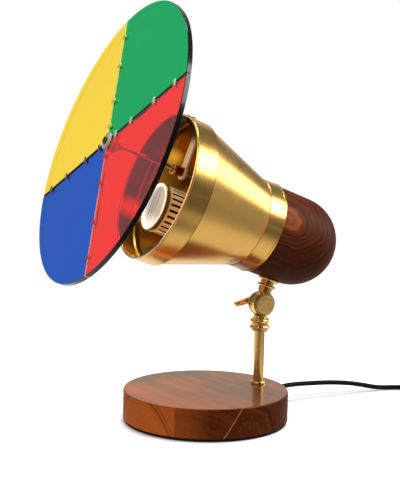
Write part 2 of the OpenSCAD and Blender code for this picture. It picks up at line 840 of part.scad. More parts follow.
module wood_housing() {
    color("saddlebrown") head() difference() {
        union() {
            along_s(wood_front_s) cylinder(d = wood_spigot_d, h = collar_end_s - wood_front_s);
            along_s(collar_end_s) cylinder(d = wood_d, h = dome_s - collar_end_s);
            along_s(dome_s) intersection() {
                sphere(d = wood_d);
                cylinder(d = 2 * wood_d, h = wood_d);
            }
        }
        along_s(wood_front_s - cut) cylinder(d = hollow_d, h = dome_s - wood_front_s + cut);
        along_s(dome_s) sphere(d = hollow_d);
        at_shade_screws(wood_front_s - cut) cylinder(d = screw_hole_d, h = shade_screw_l + cut);
        translate([neck_s, 0, -wood_d]) {
            cylinder(d = spigot_d + 2 * seat_fit, h = wood_d);
            cylinder(d = neck_flange_d + 0.6, h = wood_d - flange_seat);
        }
        translate([neck_s, 0, -nut_seat]) cylinder(d = neck_nut_af / cos(30) + 2, h = neck_nut_h);
    }
}

module rear_collar() {
    color("goldenrod") head() along_s(cone_end_s) difference() {
        union() {
            cylinder(d = collar_d, h = collar_l);
            translate([0, 0, collar_l - 2]) cylinder(d = collar_d + 1, h = 2);
        }
        translate([0, 0, -cut]) cylinder(d = bore_d, h = collar_l + 2 * cut);
    }
}

module shade_cone() {
    lip_r = cone_lip_d / 2;
    color("goldenrod") head() difference() {
        along_s(0) rotate_extrude() polygon([
            [cone_front_r, band_l - band_lap], [cone_front_r, band_l],
            [cone_end_r, cone_end_s], [lip_r, cone_end_s],
            [lip_r, cone_end_s - sheet_t], [cone_end_r - sheet_t, cone_end_s - sheet_t],
            [cone_front_r - sheet_t, band_l], [cone_front_r - sheet_t, band_l - band_lap]
        ]);
        at_shade_screws(cone_end_s - 2 * sheet_t) cylinder(d = screw_hole_d, h = 3 * sheet_t);
    }
}

module rim_band() {
    color("goldenrod") head() difference() {
        along_s(0) rotate_extrude() {
            translate([rim_d / 2 - sheet_t, 0]) square([sheet_t, band_l]);
            translate([rim_d / 2 - sheet_t / 2, rim_bead]) circle(r = rim_bead);
        }
        for (s = strap_screw_s) {
            translate([s, 0, rim_d / 2 - 3 * sheet_t]) cylinder(d = screw_hole_d, h = 4 * sheet_t);
        }
    }
}

module bulkhead_plate() {
    color("silver") head() difference() {
        along_s(cone_end_s) cylinder(d = wood_spigot_d, h = bulkhead_t);
        at_shade_screws(cone_end_s - cut) cylinder(d = screw_hole_d, h = bulkhead_t + 2 * cut);
        for (side = [-1, 1]) {
            along_s(cone_end_s - cut, shaft_rise, side * ear_y) {
                cylinder(d = pillar_stud_d + 2 * seat_fit, h = bulkhead_t + 2 * cut);
            }
            along_s(cone_end_s - cut, -lamp_drop, side * foot_screw_y) {
                cylinder(d = screw_hole_d, h = bulkhead_t + 2 * cut);
            }
        }
        for (n = lead_holes_n) {
            along_s(cone_end_s - cut, n) cylinder(d = wire_hole_d, h = bulkhead_t + 2 * cut);
        }
    }
}

module shade_screws() {
    color("silver") head() at_shade_screws(cone_end_s - sheet_t) {
        pan_screw(screw_d, shade_screw_l, pan_d, pan_h);
    }
}

// Strap, bush and shaft
module bearing_strap() {
    color("tan") head() difference() {
        union() {
            intersection() {
                along_s(0) rotate_extrude() polygon([
                    [strap_r - strap_t, strap_front_s], [strap_pad_r, strap_front_s],
                    [strap_pad_r, strap_pad_end_s], [strap_r, strap_pad_end_s],
                    [strap_r, strap_end_s], [strap_r - strap_t, strap_end_s]
                ]);
                translate([0, -strap_w / 2, 0]) cube([rim_d, strap_w, rim_d]);
            }
            intersection() {
                translate([strap_s, -strap_w / 2, shaft_rise]) cube([strap_t, strap_w, rim_d]);
                along_s(strap_s) cylinder(r = strap_r - strap_t / 2, h = strap_t);
            }
            along_s(strap_s, shaft_rise) cylinder(d = strap_eye_d, h = strap_t);
        }
        along_s(strap_s - cut, shaft_rise) cylinder(d = bush_d + 2 * seat_fit, h = strap_t + 2 * cut);
        for (s = strap_screw_s) {
            translate([s, 0, strap_r - strap_t - cut]) {
                cylinder(d = screw_hole_d, h = strap_pad_r - strap_r + strap_t + 2 * cut);
            }
        }
    }
}

module strap_screws() {
    color("dimgray") head() for (s = strap_screw_s) {
        translate([s, 0, rim_d / 2]) mirror([0, 0, 1]) {
            pan_screw(screw_d, rim_d / 2 - strap_r + strap_t + strap_screw_out, strap_pan_d, strap_pan_h);
        }
    }
}

module shaft_bush() {
    color("goldenrod") head() difference() {
        union() {
            along_s(bush_front_s, shaft_rise) cylinder(d = bush_d, h = bush_rear_s - bush_front_s);
            along_s(bush_front_s, shaft_rise) cylinder(d = bush_ring_d, h = bush_ring_l);
            along_s(strap_end_s, shaft_rise) cylinder(d = bush_ring_d, h = bush_ring_l);
        }
        along_s(bush_front_s - cut, shaft_rise) {
            cylinder(d = shaft_d + 2 * run_fit, h = bush_rear_s - bush_front_s + 2 * cut);
        }
    }
}

// Motor
module motor_can() {
    color("silver") head() along_s(can_s, shaft_rise) difference() {
        cylinder(d = motor_d, h = motor_l);
        translate([0, 0, -cut]) cylinder(d = motor_d - 2 * can_wall, h = motor_l - can_back + cut);
        translate([gear_centres, 0, 0]) cylinder(d = spindle_d + 2 * run_fit, h = motor_l - can_back / 3);
    }
}

module motor_plate() {
    color("silver") head() along_s(motor_s, shaft_rise) linear_extrude(plate_t) difference() {
        union() {
            circle(d = motor_d);
            square([ear_d, 2 * ear_y], center = true);
            for (side = [-1, 1]) translate([0, side * ear_y]) circle(d = ear_d);
        }
        circle(d = shaft_d + 2 * run_fit);
        for (side = [-1, 1]) translate([0, side * ear_y]) circle(d = pillar_stud_d + 2 * seat_fit);
        translate([gear_centres, 0]) circle(d = spindle_d + 2 * run_fit);
    }
}

module motor_pillars() {
    stud_out = 1;
    color("silver") head() for (side = [-1, 1]) {
        along_s(can_s, shaft_rise, side * ear_y) cylinder(d = pillar_d, h = cone_end_s - can_s);
        along_s(motor_s - stud_out, shaft_rise, side * ear_y) {
            cylinder(d = pillar_stud_d, h = cone_end_s + bulkhead_t - motor_s + 2 * stud_out);
        }
    }
}

module motor_rotor() {
    color("dimgray") head() along_s(0, shaft_rise) translate([gear_centres, 0, 0]) {
        translate([0, 0, motor_s + face_fit]) {
            cylinder(d = spindle_d, h = plate_t + motor_l - can_back / 2 - 2 * face_fit);
        }
        translate([0, 0, gear_s]) rotate(180 + 180 / pinion_teeth) linear_extrude(gear_w) {
            gear_outline(pinion_teeth);
        }
        translate([0, 0, rotor_s]) cylinder(r = rotor_r, h = rotor_l);
    }
}

module drive_gear() {
    color("white") head() along_s(gear_s, shaft_rise) linear_extrude(gear_w) difference() {
        gear_outline(gear_teeth);
        circle(d = shaft_d + 2 * run_fit);
    }
}

// Lamp holder and bulb
module lamp_holder() {
    color("ivory") head() along_s(bulb_end_s, -lamp_drop) difference() {
        cylinder(d = holder_d, h = holder_l);
        for (side = [-1, 1]) {
            translate([0, side * bulb_pin_y, -cut]) {
                cylinder(d = bulb_pin_d + 2 * seat_fit, h = bulb_pin_l + 2 * cut);
            }
            translate([0, side * holder_screw_y, holder_l - holder_screw_l]) {
                cylinder(d = screw_hole_d, h = holder_screw_l + cut);
            }
        }
    }
}

module holder_bracket() {
    leg_l = cone_end_s - holder_end_s;
    color("silver") head() translate([holder_end_s, 0, -lamp_drop - bracket_w / 2]) difference() {
        union() {
            translate([0, -bracket_y, 0]) cube([bracket_t, 2 * bracket_y, bracket_w]);
            for (side = [-1, 1]) {
                translate([0, side * (bracket_y - bracket_t / 2) - bracket_t / 2, 0]) {
                    cube([leg_l, bracket_t, bracket_w]);
                }
                translate([leg_l - bracket_t, side * foot_screw_y - (bracket_foot_y - bracket_y) / 2, 0]) {
                    cube([bracket_t, bracket_foot_y - bracket_y, bracket_w]);
                }
            }
        }
        for (side = [-1, 1]) {
            along_s(-cut, bracket_w / 2, side * holder_screw_y) {
                cylinder(d = screw_hole_d, h = bracket_t + 2 * cut);
            }
            along_s(leg_l - bracket_t - cut, bracket_w / 2, side * foot_screw_y) {
                cylinder(d = screw_hole_d, h = bracket_t + 2 * cut);
            }
        }
    }
}

module bracket_screws() {
    color("silver") head() for (side = [-1, 1]) {
        along_s(holder_end_s + bracket_t, -lamp_drop, side * holder_screw_y) {
            mirror([0, 0, 1]) pan_screw(screw_d, bracket_t + holder_screw_l - face_fit, pan_d, pan_h);
        }
        along_s(cone_end_s - bracket_t, -lamp_drop, side * foot_screw_y) {
            pan_screw(screw_d, bracket_t + bulkhead_t + 4, pan_d, pan_h);
        }
    }
}

module bulb_body() {
    fin_s = lamp_s + bezel_l;
    fin_l = 30;
    taper_l = 10;
    neck_l = bulb_l - bezel_l - fin_l - taper_l;
    color("gold") head() along_s(fin_s, -lamp_drop) difference() {
        union() {
            cylinder(d = fin_d, h = fin_l);
            translate([0, 0, fin_l]) {
                cylinder(d1 = fin_d - 2 * fin_slot_depth, d2 = bulb_neck_d, h = taper_l);
            }
            translate([0, 0, fin_l + taper_l]) cylinder(d = bulb_neck_d, h = neck_l);
        }
        for (i = [0:fin_count - 1]) rotate(360 * i / fin_count) {
            translate([fin_d / 2 - fin_slot_depth, -fin_slot_w / 2, 3]) cube([fin_d, fin_slot_w, fin_l]);
        }
        translate([0, 0, -cut]) cylinder(d = lens_d - 2 * lens_ledge, h = bulb_cup_l + cut);
    }
}

module bulb_bezel() {
    color("white") head() along_s(lamp_s, -lamp_drop) difference() {
        rotate([180, 0, 0]) translate([0, 0, -bezel_l]) round_top_disc(bezel_d, bezel_l, 0.8);
        translate([0, 0, -cut]) cylinder(d = lens_d, h = bezel_l + 2 * cut);
    }
}

module bulb_lens() {
    color("lightyellow") head() along_s(lamp_s + lens_inset, -lamp_drop) {
        cylinder(d = lens_d - 2 * seat_fit, h = lens_t);
    }
}

module bulb_reflector() {
    mouth_r = lens_d / 2 - lens_ledge - seat_fit;
    cup_s = lamp_s + lens_inset + lens_t;
    cup_l = bezel_l - lens_inset - lens_t + bulb_cup_l - reflector_room;
    wall = 0.8;
    floor_r = 6;
    color("silver") head() along_s(cup_s, -lamp_drop) rotate_extrude() polygon([
        [mouth_r, 0], [floor_r + wall, cup_l], [0, cup_l], [0, cup_l - wall], [floor_r, cup_l - wall],
        [mouth_r - wall, 0]
    ]);
}

module bulb_pins() {
    color("silver") head() for (side = [-1, 1]) {
        along_s(bulb_end_s, -lamp_drop, side * bulb_pin_y) cylinder(d = bulb_pin_d, h = bulb_pin_l);
    }
}

module terminal_block() {
    color("white") head() {
        translate([wood_front_s, -terminal_size[1] / 2, -terminal_size[2] / 2]) cube(terminal_size);
    }
}

module head_leads() {
    color("dimgray") head() {
        tube(lamp_lead_route, lead_d, cord_sides);
        tube(motor_lead_route, motor_lead_d, cord_sides);
        tube(supply_lead_route, lead_d, cord_sides);
    }
}

// Wheel, from its front face rearwards
module on_wheel() {
    head() along_s(-wheel_ahead, shaft_rise) rotate(90 - seam_angle) children();
}

module panel(quarter) {
    on_wheel() linear_extrude(panel_t) difference() {
        intersection() {
            circle(d = wheel_d);
            rotate(90 * quarter) translate([seam_gap / 2, seam_gap / 2]) square(wheel_d);
        }
        circle(d = hub_tube_d + 2 * seat_fit);
    }
}

module panel_yellow() {
    color("gold") panel(0);
}

module panel_green() {
    color("seagreen") panel(1);
}

module panel_red() {
    color("crimson") panel(2);
}

module panel_blue() {
    color("royalblue") panel(3);
}

module seam_clip() {
    web = seam_gap - 2 * seat_fit;
    translate([-clip_l / 2, -web / 2, 0]) cube([clip_l, web, panel_t]);
    for (z = [-clip_t, panel_t]) translate([-clip_l / 2, -clip_w / 2, z]) cube([clip_l, clip_w, clip_t]);
}

module panel_clips() {
    color("gold") on_wheel() for (quarter = [0:3], r = clip_radii) {
        rotate(90 * quarter) translate([r, 0, 0]) seam_clip();
    }
}

module hub_spool() {
    color("gold") on_wheel() difference() {
        union() {
            cylinder(d = hub_tube_d, h = hub_l);
            translate([0, 0, panel_t]) cylinder(d = hub_d, h = hub_flange_t);
            translate([0, 0, panel_t]) cylinder(d = hub_neck_d, h = hub_ring_z - panel_t);
            translate([0, 0, hub_ring_z]) round_top_disc(hub_d, hub_ring_t, 0.8);
            translate([0, 0, panel_t]) cylinder(d = hub_boss_d, h = hub_l - panel_t);
        }
        translate([0, 0, -cut]) cylinder(d = shaft_d + 2 * run_fit, h = hub_l + 2 * cut);
    }
}

module hub_washer() {
    color("khaki") on_wheel() translate([0, 0, -hub_washer_t]) {
        ring(hub_d - 1, hub_screw_d + 2 * seat_fit, hub_washer_t);
    }
}

module hub_screw() {
    slot_w = 1.2;
    color("dimgray") on_wheel() translate([0, 0, -hub_washer_t]) difference() {
        pan_screw(hub_screw_d, hub_screw_l + hub_washer_t, hub_screw_head_d, hub_screw_head_h);
        translate([-hub_screw_head_d, -slot_w / 2, -hub_screw_head_h - cut]) {
            cube([2 * hub_screw_head_d, slot_w, hub_screw_head_h / 2 + cut]);
        }
    }
}

module wheel_shaft() {
    color("silver") on_wheel() difference() {
        cylinder(d = shaft_d, h = wheel_ahead + shaft_end_s);
        translate([0, 0, -cut]) cylinder(d = hub_screw_d + 2 * run_fit, h = hub_screw_l + 2 * cut);
    }
}

base_block();
foot_pad();
ballast_disc();
base_cover();
cover_screws();
post_tube();
post_flange();
post_washer();
post_nut();
cord_gland();
base_lead();
power_cord();
cord_coil();
cord_tie();
plug_body();
plug_blades();
switch_body();
switch_rocker();
lower_knuckle();
swivel_screw();
friction_washer();
pivot_bolt();
lever_washer();
clamp_lever();
upper_knuckle();
neck_flange();
neck_nut();
wood_housing();
rear_collar();
shade_cone();
rim_band();
bulkhead_plate();
shade_screws();
bearing_strap();
strap_screws();
shaft_bush();
motor_can();
motor_plate();
motor_pillars();
motor_rotor();
drive_gear();
lamp_holder();
holder_bracket();
bracket_screws();
bulb_body();
bulb_bezel();
bulb_lens();
bulb_reflector();
bulb_pins();
terminal_block();
head_leads();
panel_yellow();
panel_green();
panel_red();
panel_blue();
panel_clips();
hub_spool();
hub_washer();
hub_screw();
wheel_shaft();
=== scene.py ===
"""Color wheel light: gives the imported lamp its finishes, cord, coloured panels and studio."""

import json
import math

import bmesh
import bpy
from bpy.props import FloatProperty, FloatVectorProperty, PointerProperty
from mathutils import Matrix, Vector


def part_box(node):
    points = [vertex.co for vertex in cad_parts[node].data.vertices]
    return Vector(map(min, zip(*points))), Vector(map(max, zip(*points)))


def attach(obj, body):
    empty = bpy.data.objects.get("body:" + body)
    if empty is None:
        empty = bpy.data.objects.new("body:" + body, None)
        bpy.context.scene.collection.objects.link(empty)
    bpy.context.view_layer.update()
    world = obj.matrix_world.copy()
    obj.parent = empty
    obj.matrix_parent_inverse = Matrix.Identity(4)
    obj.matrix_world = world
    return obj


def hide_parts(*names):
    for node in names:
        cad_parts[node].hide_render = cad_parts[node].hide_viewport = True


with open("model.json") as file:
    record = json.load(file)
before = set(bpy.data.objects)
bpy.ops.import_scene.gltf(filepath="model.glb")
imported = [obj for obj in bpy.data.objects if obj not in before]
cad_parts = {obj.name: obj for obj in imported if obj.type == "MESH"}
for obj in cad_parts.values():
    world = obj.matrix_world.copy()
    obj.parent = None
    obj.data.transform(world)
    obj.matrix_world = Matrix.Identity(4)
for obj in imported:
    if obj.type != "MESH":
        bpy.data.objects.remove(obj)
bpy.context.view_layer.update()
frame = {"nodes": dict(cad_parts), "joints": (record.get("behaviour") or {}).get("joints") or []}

bl_info = {
    "name": "Color wheel light",
    "version": (1, 0, 0),
    "blender": (4, 5, 0),
    "location": "3D View > Sidebar > Lamp",
    "description": "Dresses the packed lamp and sets up its studio",
    "category": "Object",
}

BLACK = (0.0, 0.0, 0.0)
WHITE = (1.0, 1.0, 1.0)
QUARTER_TURN = math.pi / 2

# Factors that keep what lies square to the shade's axis, in the head's frame
SQUARE_TO_SHADE = (0.0, 1.0, 1.0)

# Places in the head's frame, from the middle of the shade's mouth: rearwards, sideways and up
WOOD_HEART = (0.133, 0.0, 0.016)
LOW_POOL = (0.012, 0.071, -0.0255)
BUSH_POOL = (0.032, 0.0590, 0.0415)

# Distances from the middle of a pool of light between which it fades
LOW_POOL_REACH = (0.001, 0.017)
BUSH_POOL_REACH = (0.001, 0.015)

# Places along the shade, rearwards from its mouth
BAND_JOINT = 0.0240
COLLAR_REACH = (0.089, 0.099)
BUSH_HIGHLIGHT_RINGS = (0.011, 0.0244)
SHADE_GLOW = -0.030

# Heights over the shade's axis across which painted shade, and the lens's glow, fade
COLLAR_BELLY = (-0.045, -0.036)
LINING_SHADE_HEIGHTS = (-0.055, 0.060)
RIM_SHADOW_HEIGHTS = (0.058, 0.070)
STRAP_SHADE_HEIGHTS = (0.050, 0.062)
LENS_GLOW_HEIGHTS = (-0.041, -0.024)

# Boards of the base: the way across them, the way of their grain and the two joints between them
ACROSS_BOARDS = (0.978, 0.208, 0.0)
ALONG_BOARDS = (0.208, -0.978, 0.0)
FIRST_JOINT = -0.0733
SECOND_JOINT = -0.0391
SECOND_JOINT_SLANT = -0.604

# Middle of the growth rings on the end of each board, across and up
RINGS_ACROSS = (-0.298, -0.073, -0.0097)
RINGS_UP = (-0.043, -0.060, 0.003)

# Dark rings of the first board (radius, half width, depth of tone) and the dark arch of the third
DARK_RINGS = ((0.2268, 0.0011, 0.45), (0.2286, 0.0008, 0.30))
ARCH_RADIUS = 0.0300
ARCH_HALF = 0.0045

# Tones of the clips along the seams of the wheel, by the seam's axis and side
CLIP_TONES = (
    ("X", 1.0, (0.16, 0.18, 0.18)),
    ("Y", 1.0, (1.0, 0.86, 0.30)),
    ("X", -1.0, (0.66, 0.86, 0.56)),
    ("Y", -1.0, (0.86, 0.10, 0.08)),
)

# The cord as it lies, from the strain relief's tip through the switch to the coil's start
CORD_ROUTE = [
    (0.1220, 0.0370, 0.01690), (0.1330, 0.0394, 0.01650), (0.1440, 0.0405, 0.01600),
    (0.1550, 0.0410, 0.01550), (0.1660, 0.0410, 0.01500), (0.1780, 0.0410, 0.01430),
    (0.1890, 0.0405, 0.01340), (0.1980, 0.0402, 0.01240), (0.2060, 0.0400, 0.01130),
    (0.2150, 0.0398, 0.00970), (0.2240, 0.0395, 0.00780), (0.2320, 0.0390, 0.00600),
    (0.2400, 0.0383, 0.00440), (0.2480, 0.0374, 0.00330), (0.2570, 0.0358, 0.00280),
    (0.2650, 0.0336, 0.00275), (0.2730, 0.0300, 0.00275), (0.2800, 0.0256, 0.00275),
    (0.2860, 0.0200, 0.00280), (0.2904, 0.0130, 0.00310), (0.2930, 0.0050, 0.00400),
    (0.2945, -0.0030, 0.00580), (0.2950, -0.0100, 0.00770), (0.2950, -0.0160, 0.00880),
    (0.2950, -0.0220, 0.00900), (0.2950, -0.0530, 0.00900), (0.2950, -0.0840, 0.00900),
    (0.2950, -0.0900, 0.00880), (0.2950, -0.0970, 0.00780), (0.2950, -0.1050, 0.00600),
    (0.2950, -0.1120, 0.00460), (0.2950, -0.1180, 0.00395), (0.2950, -0.1226, 0.00380),
]

# Point that the softboxes aim at, and the ways in which their long sides lie
LAMP_MIDDLE = Vector((0.03, 0.0, 0.23))
DIAGONAL = Vector((0.60, 0.61, -0.52))
LEVEL = Vector((0.0, 1.0, 0.0))

# Softboxes round the lamp: azimuth, elevation and distance, way of the long side, and both sides
SOFTBOXES = {
    "key": ((-36.7, 35.4, 1.9), DIAGONAL, (1.1, 1.0)),
    "low": ((-6.1, 15.4, 1.9), DIAGONAL, (1.1, 0.85)),
    "top": ((75.0, 72.0, 1.6), LEVEL, (0.45, 0.45)),
    "side": ((-150.0, 38.0, 1.6), LEVEL, (0.9, 0.7)),
}


def number(name, text, value, **more):
    return FloatProperty(name=name, description=text, default=value, **more)


def length(name, text, value):
    return number(name, text, value, unit="LENGTH", precision=5)


def angle(name, text, degrees):
    return number(name, text, math.radians(degrees), unit="ROTATION")


def power(name, text, watts):
    return number(name, text, watts, unit="POWER")


def colour(name, text, value):
    return FloatVectorProperty(
        name=name, description=text, default=value, subtype="COLOR", size=3, min=0.0, max=1.0
    )


class LampSizes(bpy.types.PropertyGroup):
    """Sizes of the pieces that are built here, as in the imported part."""

    shaft_rise: length("Shaft rise", "Height of the wheel's shaft over the shade's axis", 0.0225)
    lamp_drop: length("Lamp drop", "Depth of the bulb's axis under the shade's axis", 0.020)
    wheel_ahead: length("Wheel ahead", "Distance of the wheel's front face before the shade's mouth", 0.065)
    wheel_radius: length("Wheel radius", "Radius of the wheel of panels", 0.1465)
    seam_turn: angle("Seam turn", "Turn of the first seam about the shaft", 63.0)
    seam_gap: length("Seam gap", "Gap between two panels", 0.001)
    panel_depth: length("Panel thickness", "Thickness of a coloured panel", 0.005)
    panel_bore: length("Panel bore", "Radius of the hole for the hub", 0.0041)
    panel_bevel: length("Panel bevel", "Width of the bevel along a panel's brinks", 0.0005)
    lens_radius: length("Lens radius", "Radius of the bulb's lens", 0.0219)
    lens_front: length("Lens front", "Distance of the lens behind the shade's mouth", 0.0056)
    lens_depth: length("Lens thickness", "Thickness of the bulb's lens", 0.0024)
    lens_crown: length("Lens crown", "Rise of the lens in its middle", 0.0008)
    cord_diameter: length("Cord diameter", "Outside of the power cord", 0.0054)
    cord_length: length("Cord length", "Whole length of the power cord", 1.866)
    relief_angle: angle("Strain relief angle", "Direction in which the cord leaves the base", 17.0)
    relief_height: length("Strain relief height", "Height of the strain relief's axis", 0.017)
    relief_tip: length("Strain relief tip", "Distance of its tip from the base's centre", 0.1125)
    coil_x: length("Coil x", "Middle of the cord's coil, along x", 0.3385)
    coil_y: length("Coil y", "Middle of the cord's coil, along y", -0.128)
    coil_radius: length("Coil radius", "Outermost radius of the cord's coil", 0.0435)
    coil_pitch: length("Coil pitch", "Distance between two turns of the coil", 0.00595)
    coil_turns: number("Coil turns", "Turns of the cord's coil", 7.5)
    coil_low: length("Coil low", "Height of the coil's lower layer", 0.0038)
    coil_high: length("Coil high", "Height of the coil's upper layer", 0.00975)
    tie_width: length("Tie width", "Width of the woven tie round the coil", 0.010)
    tie_depth: length("Tie thickness", "Thickness of the woven tie", 0.001)
    plug_length: length("Plug length", "Length of the plug's body without its neck", 0.030)


class LampColours(bpy.types.PropertyGroup):
    """Colours of the finishes."""

    yellow: colour("Yellow panel", "Colour of white light through the yellow panel", (1.0, 0.720, 0.062))
    green: colour("Green panel", "Colour of white light through the green panel", (0.012, 0.410, 0.125))
    red: colour("Red panel", "Colour of white light through the red panel", (0.860, 0.006, 0.005))
    red_reflection_glow: number("Red haze", "Soft light on the red panel's faces", 0.042)
    blue: colour("Blue panel", "Colour of white light through the blue panel", (0.022, 0.105, 0.510))
    brass: colour("Brass", "Lighter tone of the satin brass", (0.92, 0.57, 0.17))
    brass_deep: colour("Deep brass", "Deeper tone of the satin brass", (0.84, 0.47, 0.10))
    brass_inside: colour("Brass inside", "Unpolished brass inside the shade", (0.86, 0.52, 0.10))
    # Pale brass that paints a highlight on the sheet's edges
    edge_highlight_brass: colour("Sheared brass", "Pale brass on the sheet's edges", (0.98, 0.84, 0.56))
    bright_brass: colour("Bright brass", "Polished brass of post and knuckle", (0.93, 0.60, 0.20))
    rosewood_dark: colour("Dark rosewood", "Late wood of the rear housing", (0.040, 0.006, 0.0015))
    rosewood_red: colour("Red rosewood", "Early wood of the rear housing", (0.170, 0.036, 0.009))
    rosewood_heart: colour("Rosewood heart", "Lighter heart of the rear housing", (0.480, 0.110, 0.026))
    walnut_dark: colour("Dark base wood", "Darker tone of the base", (0.040, 0.007, 0.0015))
    walnut_warm: colour("Warm base wood", "Warmer tone of the base", (0.600, 0.130, 0.018))
    walnut_top: colour("Top of the base", "Warm tone of the polished top", (0.560, 0.100, 0.010))
    # Greyer tone of the top, which paints its sheen as well as its streaks
    walnut_sheen_grey: colour("Greyer top", "Greyer streaks of the polished top", (0.140, 0.042, 0.014))
    board_joint: colour("Board joint", "Pale line between two boards of the base", (0.56, 0.25, 0.10))
    strap: colour("Strap", "Pale metal of the bearing strap", (0.80, 0.60, 0.42))
    bronze: colour("Bronze", "Bronze of the shaft's bush", (0.30, 0.055, 0.010))
    # Pale tone that paints the highlights at the bush's ends
    bush_ring_highlight: colour("Bright rings", "Bright rings of the shaft's bush", (0.95, 0.86, 0.62))
    clip: colour("Hub brass", "Lacquered brass of the hub", (0.92, 0.82, 0.46))
    # Near-black tone that paints shade on the seams that face down
    dark_seam: colour("Dark seam", "Sawn edges of the dark seams", (0.030, 0.010, 0.006))
    yellow_seam: colour("Yellow seam", "Sawn edges between yellow and green", (1.0, 0.92, 0.36))
    red_seam: colour("Red seam", "Sawn edges between red and blue", (0.95, 0.52, 0.48))
    fins: colour("Bulb fins", "Gold coat of the bulb's cooling fins", (1.0, 0.76, 0.36))
    glow: colour("Glow", "Light of the bulb", (1.0, 0.86, 0.55))
    pool: colour("Pool of light", "Light that the bulb throws on the shade's wall", (1.0, 0.47, 0.04))
    sheath: colour("Cord sheath", "Black of the cord and its plug", (0.004, 0.004, 0.0045))


class StudioSettings(bpy.types.PropertyGroup):
    """Camera and light of the studio."""

    lens: number("Lens", "Focal length of the camera in mm", 77.36)
    eye: FloatVectorProperty(
        name="Eye", description="Place of the camera", default=(-0.48557, -0.98717, 0.30224), subtype="XYZ"
    )
    key_watts: power("Key light", "Power of the large softbox", 24.0)
    low_watts: power("Low light", "Power of the softbox beside it", 10.4)
    top_watts: power("Top light", "Power of the light overhead", 14.0)
    side_watts: power("Side light", "Power of the light at the side", 6.0)
    glow_watts: power("Shade glow", "Power of the glow in the shade", 0.03)
    floor_lift: number("Floor lift", "Light that the pale floor adds", 0.75)
    room_level: number("Room level", "Brightness of the walls in reflections", 0.20)
    pale_wall: number("Pale wall", "Brightness of the pale wall behind the lamp", 0.47)


def sizes():
    return bpy.context.scene.lamp_sizes


def colours():
    return bpy.context.scene.lamp_colours


def dimmed(tone, share):
    """A share of a tone's brightness."""
    return [share * part for part in tone]


def head_frame():
    """Frame of the head: x rearwards, z up, with its origin in the middle of the shade's mouth."""
    spin = next(entry for entry in frame["joints"] if entry["name"] == "wheel_spin")
    tilt = math.atan2(spin["axis"][2], -spin["axis"][0])
    turn = Matrix.Rotation(tilt, 4, "Y")
    mouth = Vector(spin["pos_m"]) - turn @ Vector((0.0, 0.0, sizes().shaft_rise))
    return Matrix.Translation(mouth) @ turn


def turned_frame(along, up):
    """Frame in the head for a turned piece: z rearwards along the shade."""
    return head_frame() @ Matrix.Translation((along, 0.0, up)) @ Matrix.Rotation(QUARTER_TURN, 4, "Y")


def wheel_frame():
    """Frame of the wheel: z rearwards along its shaft, from the panels' front face."""
    size = sizes()
    return turned_frame(-size.wheel_ahead, size.shaft_rise) @ Matrix.Rotation(size.seam_turn, 4, "Z")


